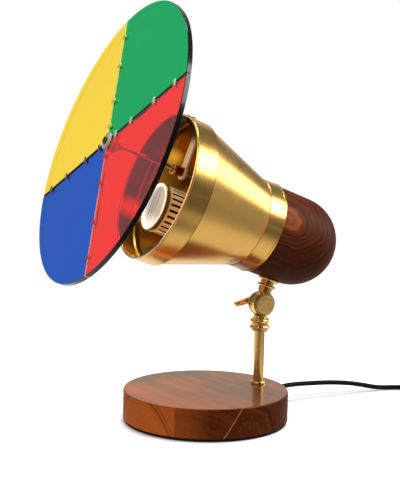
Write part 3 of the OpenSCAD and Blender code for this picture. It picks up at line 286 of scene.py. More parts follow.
class Graph:
    """A node tree with short calls to add and join its nodes."""

    def __init__(self, tree):
        self.tree = tree

    def put(self, socket, value):
        """Links a socket or sets it, a colour from its three numbers."""
        if isinstance(value, bpy.types.NodeSocket):
            self.tree.links.new(value, socket)
        else:
            socket.default_value = (*value, 1.0) if socket.type == "RGBA" else value

    def node(self, kind, inputs=None, **settings):
        made = self.tree.nodes.new(kind)
        for key, value in settings.items():
            setattr(made, key, value)
        for key, value in (inputs or {}).items():
            self.put(made.inputs[key], value)
        return made

    def group(self, tree, inputs):
        return self.node("ShaderNodeGroup", inputs, node_tree=tree).outputs

    def math(self, operation, *values, clamp=False):
        made = self.node("ShaderNodeMath", dict(enumerate(values)), operation=operation, use_clamp=clamp)
        return made.outputs[0]

    def less(self, a, b):
        return self.math("SUBTRACT", a, b)

    def times(self, a, b):
        return self.math("MULTIPLY", a, b)

    def ramp(self, value, slope, start, clamp=False):
        """value times slope, added to start."""
        return self.math("MULTIPLY_ADD", value, slope, start, clamp=clamp)

    def away(self, value, middle):
        """Distance of a value from a middle one, to either side."""
        return self.math("ABSOLUTE", self.less(value, middle))

    def vector(self, operation, *values):
        made = self.node("ShaderNodeVectorMath", dict(enumerate(values)), operation=operation)
        return made.outputs["Value" if operation in ("DOT_PRODUCT", "LENGTH", "DISTANCE") else "Vector"]

    def dot(self, vector, way):
        return self.vector("DOT_PRODUCT", vector, way)

    def scaled(self, vector, factors):
        return self.vector("MULTIPLY", vector, factors)

    def axes(self, vector):
        return self.node("ShaderNodeSeparateXYZ", {0: vector}).outputs

    def joined(self, *parts):
        return self.node("ShaderNodeCombineXYZ", dict(enumerate(parts))).outputs[0]

    def span(self, value, low, high, to_low=0.0, to_high=1.0, smooth=True):
        """value from low..high to to_low..to_high, held at both ends."""
        keys = {"Value": value, "From Min": low, "From Max": high, "To Min": to_low, "To Max": to_high}
        kind = "SMOOTHSTEP" if smooth else "LINEAR"
        return self.node("ShaderNodeMapRange", keys, interpolation_type=kind).outputs[0]

    def noise(self, vector, scale, detail=2.0, roughness=0.5):
        keys = {"Vector": vector, "Scale": scale, "Detail": detail, "Roughness": roughness}
        return self.node("ShaderNodeTexNoise", keys).outputs["Fac"]

    def mix(self, factor, a, b):
        """A colour between two others."""
        return self.node("ShaderNodeMix", data_type="RGBA", inputs={0: factor, 6: a, 7: b}).outputs[2]

    def blend(self, factor, a, b):
        """A value between two others."""
        return self.node("ShaderNodeMix", {0: factor, 2: a, 3: b}).outputs[0]

    def bump(self, height, strength, distance):
        keys = {"Height": height, "Strength": strength, "Distance": distance}
        return self.node("ShaderNodeBump", keys).outputs[0]

    def object_place(self):
        return self.node("ShaderNodeTexCoord").outputs["Object"]

    def place_in(self, space):
        """Object coordinates in a frame of the lamp."""
        inverse = space.inverted()
        keys = {"Location": inverse.translation, "Rotation": inverse.to_euler()}
        return self.node("ShaderNodeMapping", {"Vector": self.object_place(), **keys}).outputs[0]

    def head_place(self):
        """Object coordinates in the head's own frame."""
        return self.place_in(head_frame())

    def head_normal(self):
        """Normal in the head's own frame."""
        normal = self.node("ShaderNodeTexCoord").outputs["Normal"]
        keys = {"Vector": normal, "Rotation": head_frame().inverted().to_euler()}
        return self.node("ShaderNodeMapping", keys, vector_type="VECTOR").outputs[0]

    def from_axis(self, place, up):
        """Distance of a place in the head from a line along the shade, at a height over its axis."""
        offset = self.vector("SUBTRACT", place, (0.0, 0.0, up))
        return self.vector("LENGTH", self.scaled(offset, SQUARE_TO_SHADE))

    def brushed(self, vector):
        """Brushed lines and their drift, as the stretched vector gives them."""
        return self.group(brushed_lines(), {"Vector": vector})

    def smudge(self, place):
        return self.group(handling_marks(), {"Vector": place})["Smudge"]

    def shader(self, kind, **inputs):
        return self.node(f"ShaderNode{kind}", inputs).outputs[0]

    def mix_shader(self, factor, a, b):
        return self.node("ShaderNodeMixShader", {0: factor, 1: a, 2: b}).outputs[0]

    def seen_straight(self):
        """Whether a ray comes from the camera, through the panels too, and not from a reflection."""
        path = self.node("ShaderNodeLightPath").outputs
        return self.math("MAXIMUM", path["Is Camera Ray"], path["Is Transmission Ray"])


class Finish(Graph):
    """A new material, whose Principled shader is painted by the names of its sockets."""

    def __init__(self, name, **settings):
        self.material = bpy.data.materials.new(name)
        self.material.use_nodes = True
        super().__init__(self.material.node_tree)
        self.skin = self.tree.nodes["Principled BSDF"]
        self.paint(**settings)

    def paint(self, **sockets):
        for key, value in sockets.items():
            self.put(self.skin.inputs[key.replace("_", " ").title().replace("Ior", "IOR")], value)
        return self.material


def shared_group(name, inputs, outputs, fill):
    """A shader group that is built once: fill gives its outputs in order, from its graph and its inputs."""
    tree = bpy.data.node_groups.get(name)
    if tree:
        return tree
    tree = bpy.data.node_groups.new(name, "ShaderNodeTree")
    for key, kind in inputs.items():
        tree.interface.new_socket(key, in_out="INPUT", socket_type=kind)
    for key in outputs:
        tree.interface.new_socket(key, in_out="OUTPUT", socket_type="NodeSocketFloat")
    graph = Graph(tree)
    given = tree.nodes.new("NodeGroupInput").outputs
    graph.node("NodeGroupOutput", dict(zip(outputs, fill(graph, given))))
    return tree


def brushed_lines():
    """Fine lines of a brushed metal: the vector is stretched so that they run across its x."""

    def fill(graph, given):
        fine = graph.noise(given["Vector"], 1.0, 3.0, 0.65)
        drift = graph.noise(graph.scaled(given["Vector"], (0.03, 0.6, 0.6)), 1.0, 1.0)
        return graph.span(fine, 0.3, 0.7), drift

    return shared_group("Brushed lines", {"Vector": "NodeSocketVector"}, ("Lines", "Drift"), fill)


def handling_marks():
    """Faint smudges that handling leaves on a surface."""

    def fill(graph, given):
        return (graph.span(graph.noise(given["Vector"], 38.0, 4.0, 0.6), 0.35, 0.75),)

    return shared_group("Handling marks", {"Vector": "NodeSocketVector"}, ("Smudge",), fill)


def wood_figure():
    """Growth rings, fibre and pores of a wood: Distance is from the rings' middle, Grain runs along its x."""
    inputs = {
        "Distance": "NodeSocketFloat",
        "Ring Width": "NodeSocketFloat",
        "Place": "NodeSocketVector",
        "Grain": "NodeSocketVector",
    }

    def fill(graph, given):
        turns = graph.joined(graph.math("DIVIDE", given["Distance"], given["Ring Width"]))
        strata = graph.vector("ADD", turns, graph.scaled(given["Place"], (9.0, 9.0, 9.0)))
        broad = graph.span(graph.noise(strata, 1.0, 2.0, 0.6), 0.36, 0.64)
        thin = graph.span(graph.noise(graph.scaled(strata, (3.4, 2.0, 2.0)), 1.0), 0.36, 0.64)
        rings = graph.ramp(thin, 0.55, graph.times(broad, 0.45))
        fibre = graph.noise(given["Grain"], 1.0, 4.0, 0.62)
        pores = graph.noise(graph.scaled(given["Grain"], (2.0, 2.6, 2.6)), 1.0, 1.0)
        return rings, fibre, graph.span(pores, 0.66, 0.74)

    return shared_group("Wood figure", inputs, ("Ring", "Fibre", "Pores"), fill)


def satin_brass():
    """Brushed brass of band, cone and collar, with pools of the bulb's light on the wall inside."""
    tint = colours()
    joint_shade = (0.08, 0.035, 0.010)
    collar_shadow = (0.25, 0.08, 0.015)
    rim_shadow = (0.08, 0.022, 0.006)
    look = Finish("satin brass", metallic=1.0, emission_strength=0.8)
    place = look.head_place()
    normal = look.head_normal()
    parts = look.axes(place)
    brush = look.brushed(look.scaled(place, (1500.0, 14.0, 14.0)))
    drift = look.ramp(brush["Drift"], 0.5, look.times(brush["Lines"], 0.25))
    metal = look.mix(drift, tint.brass, tint.brass_deep)
    # Painted shade: a dark line in the crease where the band overlaps the cone.
    at_joint = look.span(look.away(parts["X"], BAND_JOINT), 0.0004, 0.0010, 0.90, 0.0)
    metal = look.mix(at_joint, metal, joint_shade)
    # Painted highlight: faces that look along the shade, such as the rim's front edge, get a pale brass.
    edge_highlight = look.span(look.math("ABSOLUTE", look.axes(normal)["X"]), 0.6, 0.9)
    metal = look.mix(edge_highlight, metal, tint.edge_highlight_brass)
    at_collar = look.span(parts["X"], *COLLAR_REACH)
    underside = look.span(parts["Z"], *COLLAR_BELLY, 0.85, 0.0)
    metal = look.mix(look.times(at_collar, underside), metal, collar_shadow)
    inside = look.math("LESS_THAN", look.dot(normal, look.scaled(place, SQUARE_TO_SHADE)), -0.02)
    # Painted shade: the wall inside the shade darkens towards its top, under the rim.
    low = look.span(parts["Z"], *LINING_SHADE_HEIGHTS, 1.0, 0.0)
    lining = look.mix(low, dimmed(tint.brass_inside, 0.32), tint.brass_inside)
    lining = look.mix(look.span(parts["Z"], *RIM_SHADOW_HEIGHTS, 0.0, 0.75), lining, rim_shadow)
    from_pool = look.scaled(look.vector("SUBTRACT", place, LOW_POOL), (0.5, 1.0, 1.0))
    low_pool = look.span(look.vector("LENGTH", from_pool), *LOW_POOL_REACH, 1.0, 0.0)
    by_bush = look.span(look.vector("DISTANCE", place, BUSH_POOL), *BUSH_POOL_REACH, 0.7, 0.0)
    pool = look.times(look.math("MAXIMUM", low_pool, by_bush), inside)
    return look.paint(
        base_color=look.mix(inside, metal, lining),
        emission_color=look.mix(pool, BLACK, tint.pool),
        roughness=look.ramp(look.smudge(place), 0.03, look.ramp(brush["Lines"], 0.03, 0.22)),
        normal=look.bump(brush["Lines"], 0.012, 0.0004),
    )


def bright_brass(name, stretch, least_rough):
    """Polished brass with faint lines along or round a piece, as stretch gives them."""
    tint = colours()
    look = Finish(name, metallic=1.0)
    place = look.object_place()
    lines = look.brushed(look.scaled(place, stretch))["Lines"]
    return look.paint(
        base_color=look.mix(look.times(lines, 0.4), tint.bright_brass, tint.brass),
        roughness=look.ramp(look.smudge(place), 0.05, look.ramp(lines, 0.06, least_rough)),
    )


def plated_metal(name, tone, rough, stretch=(500.0, 500.0, 60.0), metal=1.0):
    """Plated or bare metal with drawn lines and smudges, less metallic where it is lacquered."""
    look = Finish(name, metallic=metal)
    place = look.object_place()
    lines = look.brushed(look.scaled(place, stretch))["Lines"]
    return look.paint(
        base_color=look.mix(lines, tone, dimmed(tone, 0.78)),
        roughness=look.ramp(look.smudge(place), 0.12, rough),
    )


def moulded(name, tone, rough, pebble=2200.0, shine=0.5):
    """Moulded plastic, rubber or ceramic with a fine pebbled skin."""
    look = Finish(name, specular_ior_level=shine)
    place = look.object_place()
    grain = look.noise(place, pebble)
    lighter = [min(1.0, 1.35 * part + 0.002) for part in tone]
    return look.paint(
        base_color=look.mix(look.smudge(place), tone, lighter),
        roughness=look.ramp(grain, 0.12, rough),
        normal=look.bump(grain, 0.15, 0.0003),
    )


def clip_metal():
    """Lacquered metal of clips and hub spool, in a tone of its own along each seam."""
    hub_reach = 0.012
    look = Finish("clip brass", metallic=0.3)
    place = look.place_in(wheel_frame())
    parts = look.axes(place)
    metal = colours().clip
    for axis, side, tone in CLIP_TONES:
        along_seam = look.math("GREATER_THAN", look.times(parts[axis], side), hub_reach)
        metal = look.mix(along_seam, metal, tone)
    return look.paint(base_color=metal, roughness=look.ramp(look.smudge(place), 0.12, 0.35))


def strap_metal():
    """Pale metal of the bearing strap, with painted shade where it lies under the rim."""
    tone = colours().strap
    rim_shade_tone = (0.05, 0.018, 0.008)
    look = Finish("pale strap", metallic=0.3)
    place = look.head_place()
    lines = look.brushed(look.scaled(place, (60.0, 60.0, 600.0)))["Lines"]
    drawn = look.mix(lines, tone, dimmed(tone, 0.78))
    # Painted shade: the strap darkens towards its top, in the shadow of the rim.
    under_rim = look.span(look.axes(place)["Z"], *STRAP_SHADE_HEIGHTS)
    return look.paint(
        base_color=look.mix(under_rim, drawn, rim_shade_tone),
        roughness=look.ramp(look.smudge(place), 0.12, 0.35),
    )


def bush_bronze():
    """Bronze bearing bush, with painted highlights as bright rings at both of its ends."""
    tint = colours()
    ring_half, ring_bore = 0.00105, 0.0050
    look = Finish("bearing bush", metallic=1.0)
    place = look.head_place()
    along = look.axes(place)["X"]
    # Painted highlights: pale rings round the bush near both of its ends.
    front, rear = [look.math("LESS_THAN", look.away(along, spot), ring_half) for spot in BUSH_HIGHLIGHT_RINGS]
    rim = look.math("GREATER_THAN", look.from_axis(place, sizes().shaft_rise), ring_bore)
    ring = look.times(look.math("ADD", front, rear), rim)
    return look.paint(
        base_color=look.mix(ring, tint.bronze, tint.bush_ring_highlight),
        roughness=look.ramp(look.smudge(look.object_place()), 0.12, 0.2),
    )


def rear_wood():
    """Dark rosewood of the rear housing, with oval rings round a lighter heart on each side."""
    tint = colours()
    heart_edge, outer_rings, ring_width = (0.0125, 0.0165), (0.028, 0.046), 0.0022
    look = Finish("rear rosewood", specular_ior_level=0.08)
    place = look.head_place()
    warp = look.ramp(look.noise(place, 34.0), 0.018, -0.009)
    from_heart = look.scaled(look.vector("SUBTRACT", place, WOOD_HEART), (0.80, 0.10, 1.10))
    oval = look.math("ADD", look.vector("LENGTH", from_heart), warp)
    grain = look.scaled(place, (160.0, 900.0, 900.0))
    keys = {"Distance": oval, "Ring Width": ring_width, "Place": place, "Grain": grain}
    figure = look.group(wood_figure(), keys)
    ring = look.ramp(look.less(figure["Fibre"], 0.5), 0.5, figure["Ring"], clamp=True)
    wood = look.mix(ring, tint.rosewood_dark, tint.rosewood_red)
    heartwood = look.mix(ring, tint.rosewood_red, tint.rosewood_heart)
    wood = look.mix(look.span(oval, *heart_edge, 1.0, 0.0), wood, heartwood)
    wood = look.mix(look.span(oval, *outer_rings, 0.0, 0.50), wood, tint.rosewood_dark)
    return look.paint(
        base_color=look.mix(look.times(figure["Pores"], 0.5), wood, tint.rosewood_dark),
        roughness=look.ramp(ring, 0.10, 0.46),
        normal=look.bump(figure["Fibre"], 0.10, 0.0004),
    )


def base_wood():
    """Warm wood of the base, glued from three boards, with growth rings on their ends, painted shade on its
    right side and painted sheen on its top.
    """
    tint = colours()
    ring_width, board_shade_end, sheen_far_edge = 0.0105, -0.0450, (-0.080, -0.040)
    look = Finish("base wood", specular_ior_level=0.03, coat_roughness=0.18)
    place = look.object_place()
    height = look.axes(place)["Z"]
    across = look.dot(place, ACROSS_BOARDS)
    along = look.dot(place, ALONG_BOARDS)
    slanted = look.ramp(height, SECOND_JOINT_SLANT, across)
    past_first = look.math("GREATER_THAN", across, FIRST_JOINT)
    past_second = look.math("GREATER_THAN", slanted, SECOND_JOINT)

    def by_board(first, second, third):
        return look.blend(past_second, look.blend(past_first, first, second), third)

    ring_across = look.less(across, by_board(*RINGS_ACROSS))
    ring_height = look.less(height, by_board(*RINGS_UP))
    from_middle = look.vector("LENGTH", look.joined(ring_across, ring_height))
    grain = look.joined(look.times(along, 22.0), look.times(across, 420.0), look.times(height, 420.0))
    keys = {"Distance": from_middle, "Ring Width": ring_width, "Place": place, "Grain": grain}
    figure = look.group(wood_figure(), keys)
    fibre = look.less(figure["Fibre"], 0.5)
    arcs = [look.span(look.away(from_middle, r), 0.0, half, deep, 0.0) for r, half, deep in DARK_RINGS]
    # The boards' ends darken from left to right: partly the boards' own tones, partly painted shade on the
    # side away from the light.
    first_board = look.less(0.90, look.math("MAXIMUM", *arcs))
    second_board = look.span(across, FIRST_JOINT, board_shade_end, 0.50, 0.12)
    third_board = look.span(look.away(from_middle, ARCH_RADIUS), 0.0, ARCH_HALF, 0.0, 0.07)
    board = by_board(first_board, second_board, third_board)
    warm = look.ramp(fibre, 0.22, look.ramp(look.less(figure["Ring"], 0.5), 0.10, board), clamp=True)
    ends = look.mix(warm, tint.walnut_dark, tint.walnut_warm)
    drift = look.noise(look.scaled(grain, (0.4, 0.16, 0.16)), 1.0)
    # Painted sheen: the top turns greyer towards the right and the far edge, where it mirrors the pale wall.
    # Fibre and drift give real streaks.
    by_side = look.span(across, -0.075, 0.022, 0.95, 0.15, smooth=False)
    by_place = look.math("ADD", by_side, look.span(along, *sheen_far_edge, -0.45, 0.0))
    streaks = look.ramp(fibre, 0.55, look.ramp(look.less(drift, 0.5), 1.5, by_place), clamp=True)
    surface = look.mix(streaks, tint.walnut_sheen_grey, tint.walnut_top)
    top = look.span(look.axes(look.node("ShaderNodeNewGeometry").outputs["Normal"])["Z"], 0.5, 0.9)
    wood = look.mix(top, ends, surface)
    joint_line = look.span(look.away(slanted, SECOND_JOINT), 0.0003, 0.0010, 0.55, 0.0)
    wood = look.mix(look.times(joint_line, look.less(1.0, top)), wood, tint.board_joint)
    return look.paint(
        base_color=look.mix(look.times(figure["Pores"], 0.35), wood, tint.walnut_dark),
        roughness=look.ramp(figure["Fibre"], 0.15, 0.42),
        coat_weight=top,
        normal=look.bump(figure["Fibre"], 0.08, 0.0004),
    )


def panel_glass(name, tone, haze):
    """Clear coloured panel: light takes half of its colour at each face, and a faint glow on both faces
    paints a reflection haze.
    """
    # Painted reflection: the haze is a faint glow of the panel's faces.
    look = Finish(name, transmission_weight=1.0, ior=1.12, emission_strength=haze)
    place = look.object_place()
    return look.paint(
        base_color=look.mix(look.noise(place, 9.0), tone, dimmed(tone, 0.94)),
        roughness=look.times(look.smudge(place), 0.02),
    )


def clear_from_within(look, tone):
    """Lets light that is inside a coloured panel leave through an edge that is solid from outside."""
    inner = look.shader("BsdfTransparent", Color=[math.sqrt(part) for part in tone])
    within = look.node("ShaderNodeNewGeometry").outputs["Backfacing"]
    mixed = look.mix_shader(within, look.skin.outputs[0], inner)
    look.put(look.tree.nodes["Material Output"].inputs["Surface"], mixed)
    return look.material


def panel_rim(name, tone):
    """Glossy black edge round the wheel."""
    look = Finish(name, specular_ior_level=0.25, coat_weight=0.3, coat_roughness=0.08)
    cloud = look.noise(look.object_place(), 40.0)
    look.paint(
        base_color=look.mix(cloud, (0.003, 0.002, 0.002), (0.007, 0.005, 0.005)),
        roughness=look.ramp(cloud, 0.12, 0.16),
    )
    return clear_from_within(look, tone)


def panel_seam(name, edge, tone):
    """Sawn edge along a seam, in the tone given for the seam: the pale tones are the sawn acrylic, the dark
    tone is painted shade on the seams that face down.
    """
    look = Finish(name)
    saw = look.noise(look.object_place(), 900.0)
    look.paint(base_color=look.mix(saw, edge, dimmed(edge, 0.8)), roughness=look.ramp(saw, 0.2, 0.35))
    return clear_from_within(look, tone)


def bulb_lens_glow():
    """Ribbed lens of the lit bulb: bright and warm low down, cool and streaked above."""
    look = Finish("lit bulb lens", emission_strength=1.0, roughness=0.12, coat_weight=0.4)
    place = look.head_place()
    ribs = look.noise(look.scaled(place, (60.0, 520.0, 34.0)), 1.0)
    low = look.span(look.axes(place)["Z"], *LENS_GLOW_HEIGHTS, 1.0, 0.0)
    cool = look.mix(look.span(ribs, 0.35, 0.7), (0.24, 0.17, 0.15), (0.56, 0.45, 0.37))
    hot = look.mix(look.span(ribs, 0.3, 0.65), colours().glow, (1.0, 0.97, 0.88))
    return look.paint(base_color=(0.10, 0.10, 0.11), emission_color=look.mix(low, cool, hot))


def bezel_white():
    """White ring round the lens, with the bulb's light in it."""
    ring_radius = 0.0244
    look = Finish("bulb bezel", emission_strength=0.5, roughness=0.2, coat_weight=0.3)
    place = look.head_place()
    cloud = look.noise(place, 80.0)
    ring = look.math("LESS_THAN", look.from_axis(place, -sizes().lamp_drop), ring_radius)
    white = look.mix(cloud, (0.9, 0.88, 0.82), (0.82, 0.8, 0.74))
    light = look.mix(cloud, (1.0, 0.95, 0.84), (1.0, 0.91, 0.74))
    return look.paint(
        base_color=look.mix(ring, (0.16, 0.08, 0.02), white),
        emission_color=look.mix(ring, BLACK, light),
    )


def bulb_gold():
    """Gold coat on the tips of the bulb's fins, with painted shade in their slots and a faint painted glow on
    the tips.
    """
    fins = colours().fins
    slot_radius, tip_radius = 0.0234, 0.0241
    # Painted light: the fins' tips glow faintly, as if lit by light that the bulb spills.
    look = Finish("bulb fins", metallic=0.2, emission_strength=0.10)
    place = look.head_place()
    smudge = look.smudge(place)
    tip = look.span(look.from_axis(place, -sizes().lamp_drop), slot_radius, tip_radius)
    gold = look.mix(smudge, fins, dimmed(fins, 0.85))
    return look.paint(
        # Painted shade: the slots between the fins are dark.
        base_color=look.mix(tip, (0.012, 0.006, 0.003), gold),
        emission_color=look.mix(tip, BLACK, gold),
        roughness=look.ramp(smudge, 0.1, 0.28),
    )


def woven_tie():
    """Dark woven tie."""
    look = Finish("woven tie", roughness=0.8, sheen_weight=0.3)
    threads = look.axes(look.scaled(look.object_place(), (2600.0, 2600.0, 2600.0)))
    weft = look.math("SINE", look.math("ADD", threads["Y"], threads["Z"]))
    weave = look.times(look.math("SINE", threads["X"]), weft)
    return look.paint(
        base_color=look.mix(look.span(weave, -1.0, 1.0), (0.008, 0.008, 0.009), (0.035, 0.035, 0.038)),
        normal=look.bump(weave, 0.4, 0.0003),
    )


def dress(material, *nodes):
    """Gives CAD nodes a finish, with their round faces shaded smooth."""
    crease = math.radians(30.0)
    for name in nodes:
        mesh = frame["nodes"][name].data
        mesh.materials.clear()
        mesh.materials.append(material)
        mesh.shade_smooth()
        mesh.set_sharp_from_angle(angle=crease)


def piece(name, mesh, body, materials, replaced, sharp=35.0):
    """A built mesh on the part: it rides a body and stands for the CAD nodes that it replaces."""
    form = bpy.data.meshes.new(name)
    mesh.to_mesh(form)
    mesh.free()
    for material in materials:
        form.materials.append(material)
    form.shade_smooth()
    form.set_sharp_from_angle(angle=math.radians(sharp))
    made = bpy.data.objects.new(name, form)
    bpy.context.scene.collection.objects.link(made)
    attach(made, body)
    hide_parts(*replaced)
    return made


def loft(loops, closed=False):
    """A mesh through loops of equally many points, closed on itself or by a cap at each end."""
    mesh = bmesh.new()
    rows = [[mesh.verts.new(point) for point in loop] for loop in loops]
    following = rows[1:] + rows[:1] if closed else rows[1:]
    for low, high in zip(rows, following):
        for i in range(len(low)):
            j = (i + 1) % len(low)
            mesh.faces.new((low[i], low[j], high[j], high[i]))
    if not closed:
        mesh.faces.new(list(reversed(rows[0])))
        mesh.faces.new(rows[-1])
    bmesh.ops.recalc_face_normals(mesh, faces=mesh.faces)
    return mesh


def turned(outline, place, steps):
    """A closed outline of (radius, along) points turned about the z of its place."""
    loops = []
    for step in range(steps):
        turn = 2.0 * math.pi * step / steps
        loops.append([place @ Vector((r * math.cos(turn), r * math.sin(turn), z)) for r, z in outline])
    return loft(loops, closed=True)


def rounded_loop(half_w, half_h, corner, steps=6):
    """Points of a rounded rectangle round the origin."""
    points = []
    for quarter, (sx, sy) in enumerate(((1, 1), (-1, 1), (-1, -1), (1, -1))):
        for step in range(steps + 1):
            turn = QUARTER_TURN * (quarter + step / steps)
            x = sx * (half_w - corner) + corner * math.cos(turn)
            y = sy * (half_h - corner) + corner * math.sin(turn)
            points.append((x, y))
    return points


def coil_point(degrees):
    """A point of the cord's coil: it winds in on the lower layer and out on the upper one."""
    size = sizes()
    whole = 360.0 * size.coil_turns
    radius = size.coil_radius - size.coil_pitch * min(degrees, whole - degrees) / 360.0
    rise = max(0.0, min(1.0, (degrees - whole / 2 + 90.0) / 180.0))
    height = size.coil_low + (size.coil_high - size.coil_low) * rise * rise * (3.0 - 2.0 * rise)
    turn = math.radians(degrees)
    return (size.coil_x - radius * math.cos(turn), size.coil_y - radius * math.sin(turn), height)


class LAMP_OT_stage(bpy.types.Operator):
    """Camera, pale floor and soft light"""

    bl_idname = "lamp.stage"
    bl_label = "Set the stage"

    def execute(self, context):
        studio = context.scene.lamp_studio
        self.place_camera(context, studio)
        self.lay_floor(context, studio)
        self.fill_room(context, studio)
        for name, (spot, long_side, sides) in SOFTBOXES.items():
            place = self.softbox_place(spot, long_side)
            watts = getattr(studio, f"{name}_watts")
            self.hang_light(context, f"{name} softbox", place, "RECTANGLE", sides, watts)
        self.warm_shade(context, studio)
        context.scene.view_settings.view_transform = "Standard"
        return {"FINISHED"}

    def place_camera(self, context, studio):
        data = bpy.data.cameras.new("photo camera")
        data.lens = studio.lens
        data.sensor_width = 36.0
        data.shift_x = -0.001
        right = Vector((0.9014, -0.4325, 0.0198)).normalized()
        back = Vector((-0.4319, -0.8949, 0.1123))
        back = (back - right * back.dot(right)).normalized()
        turn = Matrix((right, back.cross(right), back)).transposed().to_4x4()
        camera = bpy.data.objects.new("photo camera", data)
        camera.matrix_world = Matrix.Translation(studio.eye) @ turn
        context.scene.collection.objects.link(camera)
        context.scene.camera = camera

    def bare_graph(self, owner):
        """The graph of a new material or world, without its first nodes."""
        owner.use_nodes = True
        owner.node_tree.nodes.clear()
        return Graph(owner.node_tree)

    def lay_floor(self, context, studio):
        half_side, drop = 6.0, 0.0003
        mesh = bmesh.new()
        bmesh.ops.create_grid(mesh, x_segments=1, y_segments=1, size=half_side)
        form = bpy.data.meshes.new("pale floor")
        mesh.to_mesh(form)
        mesh.free()
        floor = bpy.data.objects.new("pale_floor", form)
        floor.location.z = -drop
        context.scene.collection.objects.link(floor)
        material = bpy.data.materials.new("pale floor")
        graph = self.bare_graph(material)
        place = graph.node("ShaderNodeNewGeometry").outputs["Position"]
        mirrored = self.mirrored_floor(graph, place)
        shown = self.shown_floor(graph, place, studio)
        mixed = graph.mix_shader(graph.seen_straight(), mirrored, shown)
        graph.node("ShaderNodeOutputMaterial", {"Surface": mixed})
        form.materials.append(material)

    def shown_floor(self, graph, place, studio):
        """The floor as the camera sees it: white, and shaded close to the base and under the cord."""
        base_middle, cord_middle = (-0.003, -0.002, 0.0), (0.20, 0.02, 0.0)
        contact = graph.span(graph.vector("DISTANCE", place, base_middle), 0.080, 0.0925, 0.1, 1.0)
        from_cord = graph.scaled(graph.vector("SUBTRACT", place, cord_middle), (8.0, 25.0, 0.0))
        beside_cord = graph.span(graph.vector("LENGTH", from_cord), 0.8, 1.4, 0.33, 1.0)
        strength = graph.times(graph.times(contact, beside_cord), studio.floor_lift)
        lift = graph.shader("Emission", Color=WHITE, Strength=strength)
        matt = graph.shader("BsdfDiffuse", Color=(0.8, 0.8, 0.8))
        near = graph.node("ShaderNodeAddShader", {0: matt, 1: lift}).outputs[0]
        white = graph.shader("Emission", Color=WHITE, Strength=1.0)
        return graph.mix_shader(graph.span(graph.vector("LENGTH", place), 0.25, 0.6), near, white)

    def mirrored_floor(self, graph, place):
        """The floor as the lamp mirrors it: bright near and behind the lamp, dim in two places before it."""
        level = graph.span(graph.vector("LENGTH", place), 0.20, 0.45, 0.78, 0.36)
        to_strip, along_strip = (0.31, -0.95, 0.0), (0.95, 0.31, 0.0)
        ahead = graph.span(graph.dot(place, to_strip), 0.42, 0.60)
        aside = graph.math("ABSOLUTE", graph.dot(place, along_strip))
        strip = graph.times(ahead, graph.span(aside, 0.25, 0.55, 1.0, 0.0))
        behind = graph.span(graph.axes(place)["Y"], 0.08, 0.28)
        level = graph.ramp(behind, 0.36, graph.ramp(strip, -0.24, level))
        to_front, along_front = (-0.433, -0.901, 0.0), (0.901, -0.433, 0.0)
        before = graph.span(graph.dot(place, to_front), 0.13, 0.24)
        beside = graph.math("ABSOLUTE", graph.dot(place, along_front))
        dim = graph.times(before, graph.span(beside, 0.08, 0.20, 1.0, 0.0))
        level = graph.times(level, graph.span(dim, 0.0, 1.0, 1.0, 0.2))
        return graph.shader("Emission", Color=(1.0, 0.97, 0.92), Strength=level)

    def fill_room(self, context, studio):
        """White for the camera, and for reflections a dim room with a dark flag and a pale wall."""
        world = bpy.data.worlds.new("studio room")
        graph = self.bare_graph(world)
        way = graph.node("ShaderNodeTexCoord").outputs["Generated"]
        wall = graph.span(graph.axes(way)["Z"], 0.1, 0.8, studio.room_level, 0.8 * studio.room_level)
        to_flag, to_pale_wall, warm_white = (-0.10, -0.99, -0.05), (0.40, 0.875, 0.275), (1.0, 0.86, 0.68)
        flag = graph.span(graph.dot(way, to_flag), 0.50, 0.93, 1.0, 0.25)
        pale = graph.span(graph.dot(way, to_pale_wall), 0.90, 0.985)
        strength = graph.ramp(wall, flag, graph.times(pale, studio.pale_wall))
        tint = graph.mix(pale, WHITE, warm_white)
        room = graph.shader("Background", Color=tint, Strength=strength)
        white = graph.shader("Background", Color=WHITE, Strength=1.0)
        mixed = graph.mix_shader(graph.seen_straight(), room, white)
        graph.node("ShaderNodeOutputWorld", {"Surface": mixed})
        context.scene.world = world

    def softbox_place(self, spot, long_side):
        """Aims at the lamp from (azimuth, elevation, distance), with the long side turned so."""
        turn, rise, distance = math.radians(spot[0]), math.radians(spot[1]), spot[2]
        back = Vector((math.cos(rise) * math.cos(turn), math.cos(rise) * math.sin(turn), math.sin(rise)))
        wide = (long_side - back * long_side.dot(back)).normalized()
        axes = Matrix((wide, back.cross(wide), back)).transposed().to_4x4()
        return Matrix.Translation(LAMP_MIDDLE + back * distance) @ axes

    def hang_light(self, context, name, place, shape, sides, watts, tint=WHITE):
        """An area light that the camera doesn't see, nor through the panels."""
        data = bpy.data.lights.new(name, "AREA")
        data.shape = shape
        data.size, data.size_y = sides
        data.energy = watts
        data.color = tint
        light = bpy.data.objects.new(name, data)
        light.matrix_world = place
        light.visible_camera = False
        light.visible_transmission = False
        context.scene.collection.objects.link(light)
        return light

    def warm_shade(self, context, studio):
        """A soft glow into the shade, as the wheel throws the bulb's light back."""
        place = turned_frame(SHADE_GLOW, 0.0) @ Matrix.Rotation(math.pi, 4, "X")
        watts, tint = studio.glow_watts, colours().glow
        light = self.hang_light(context, "shade glow", place, "DISK", (0.10, 0.10), watts, tint)
        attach(light, "head")


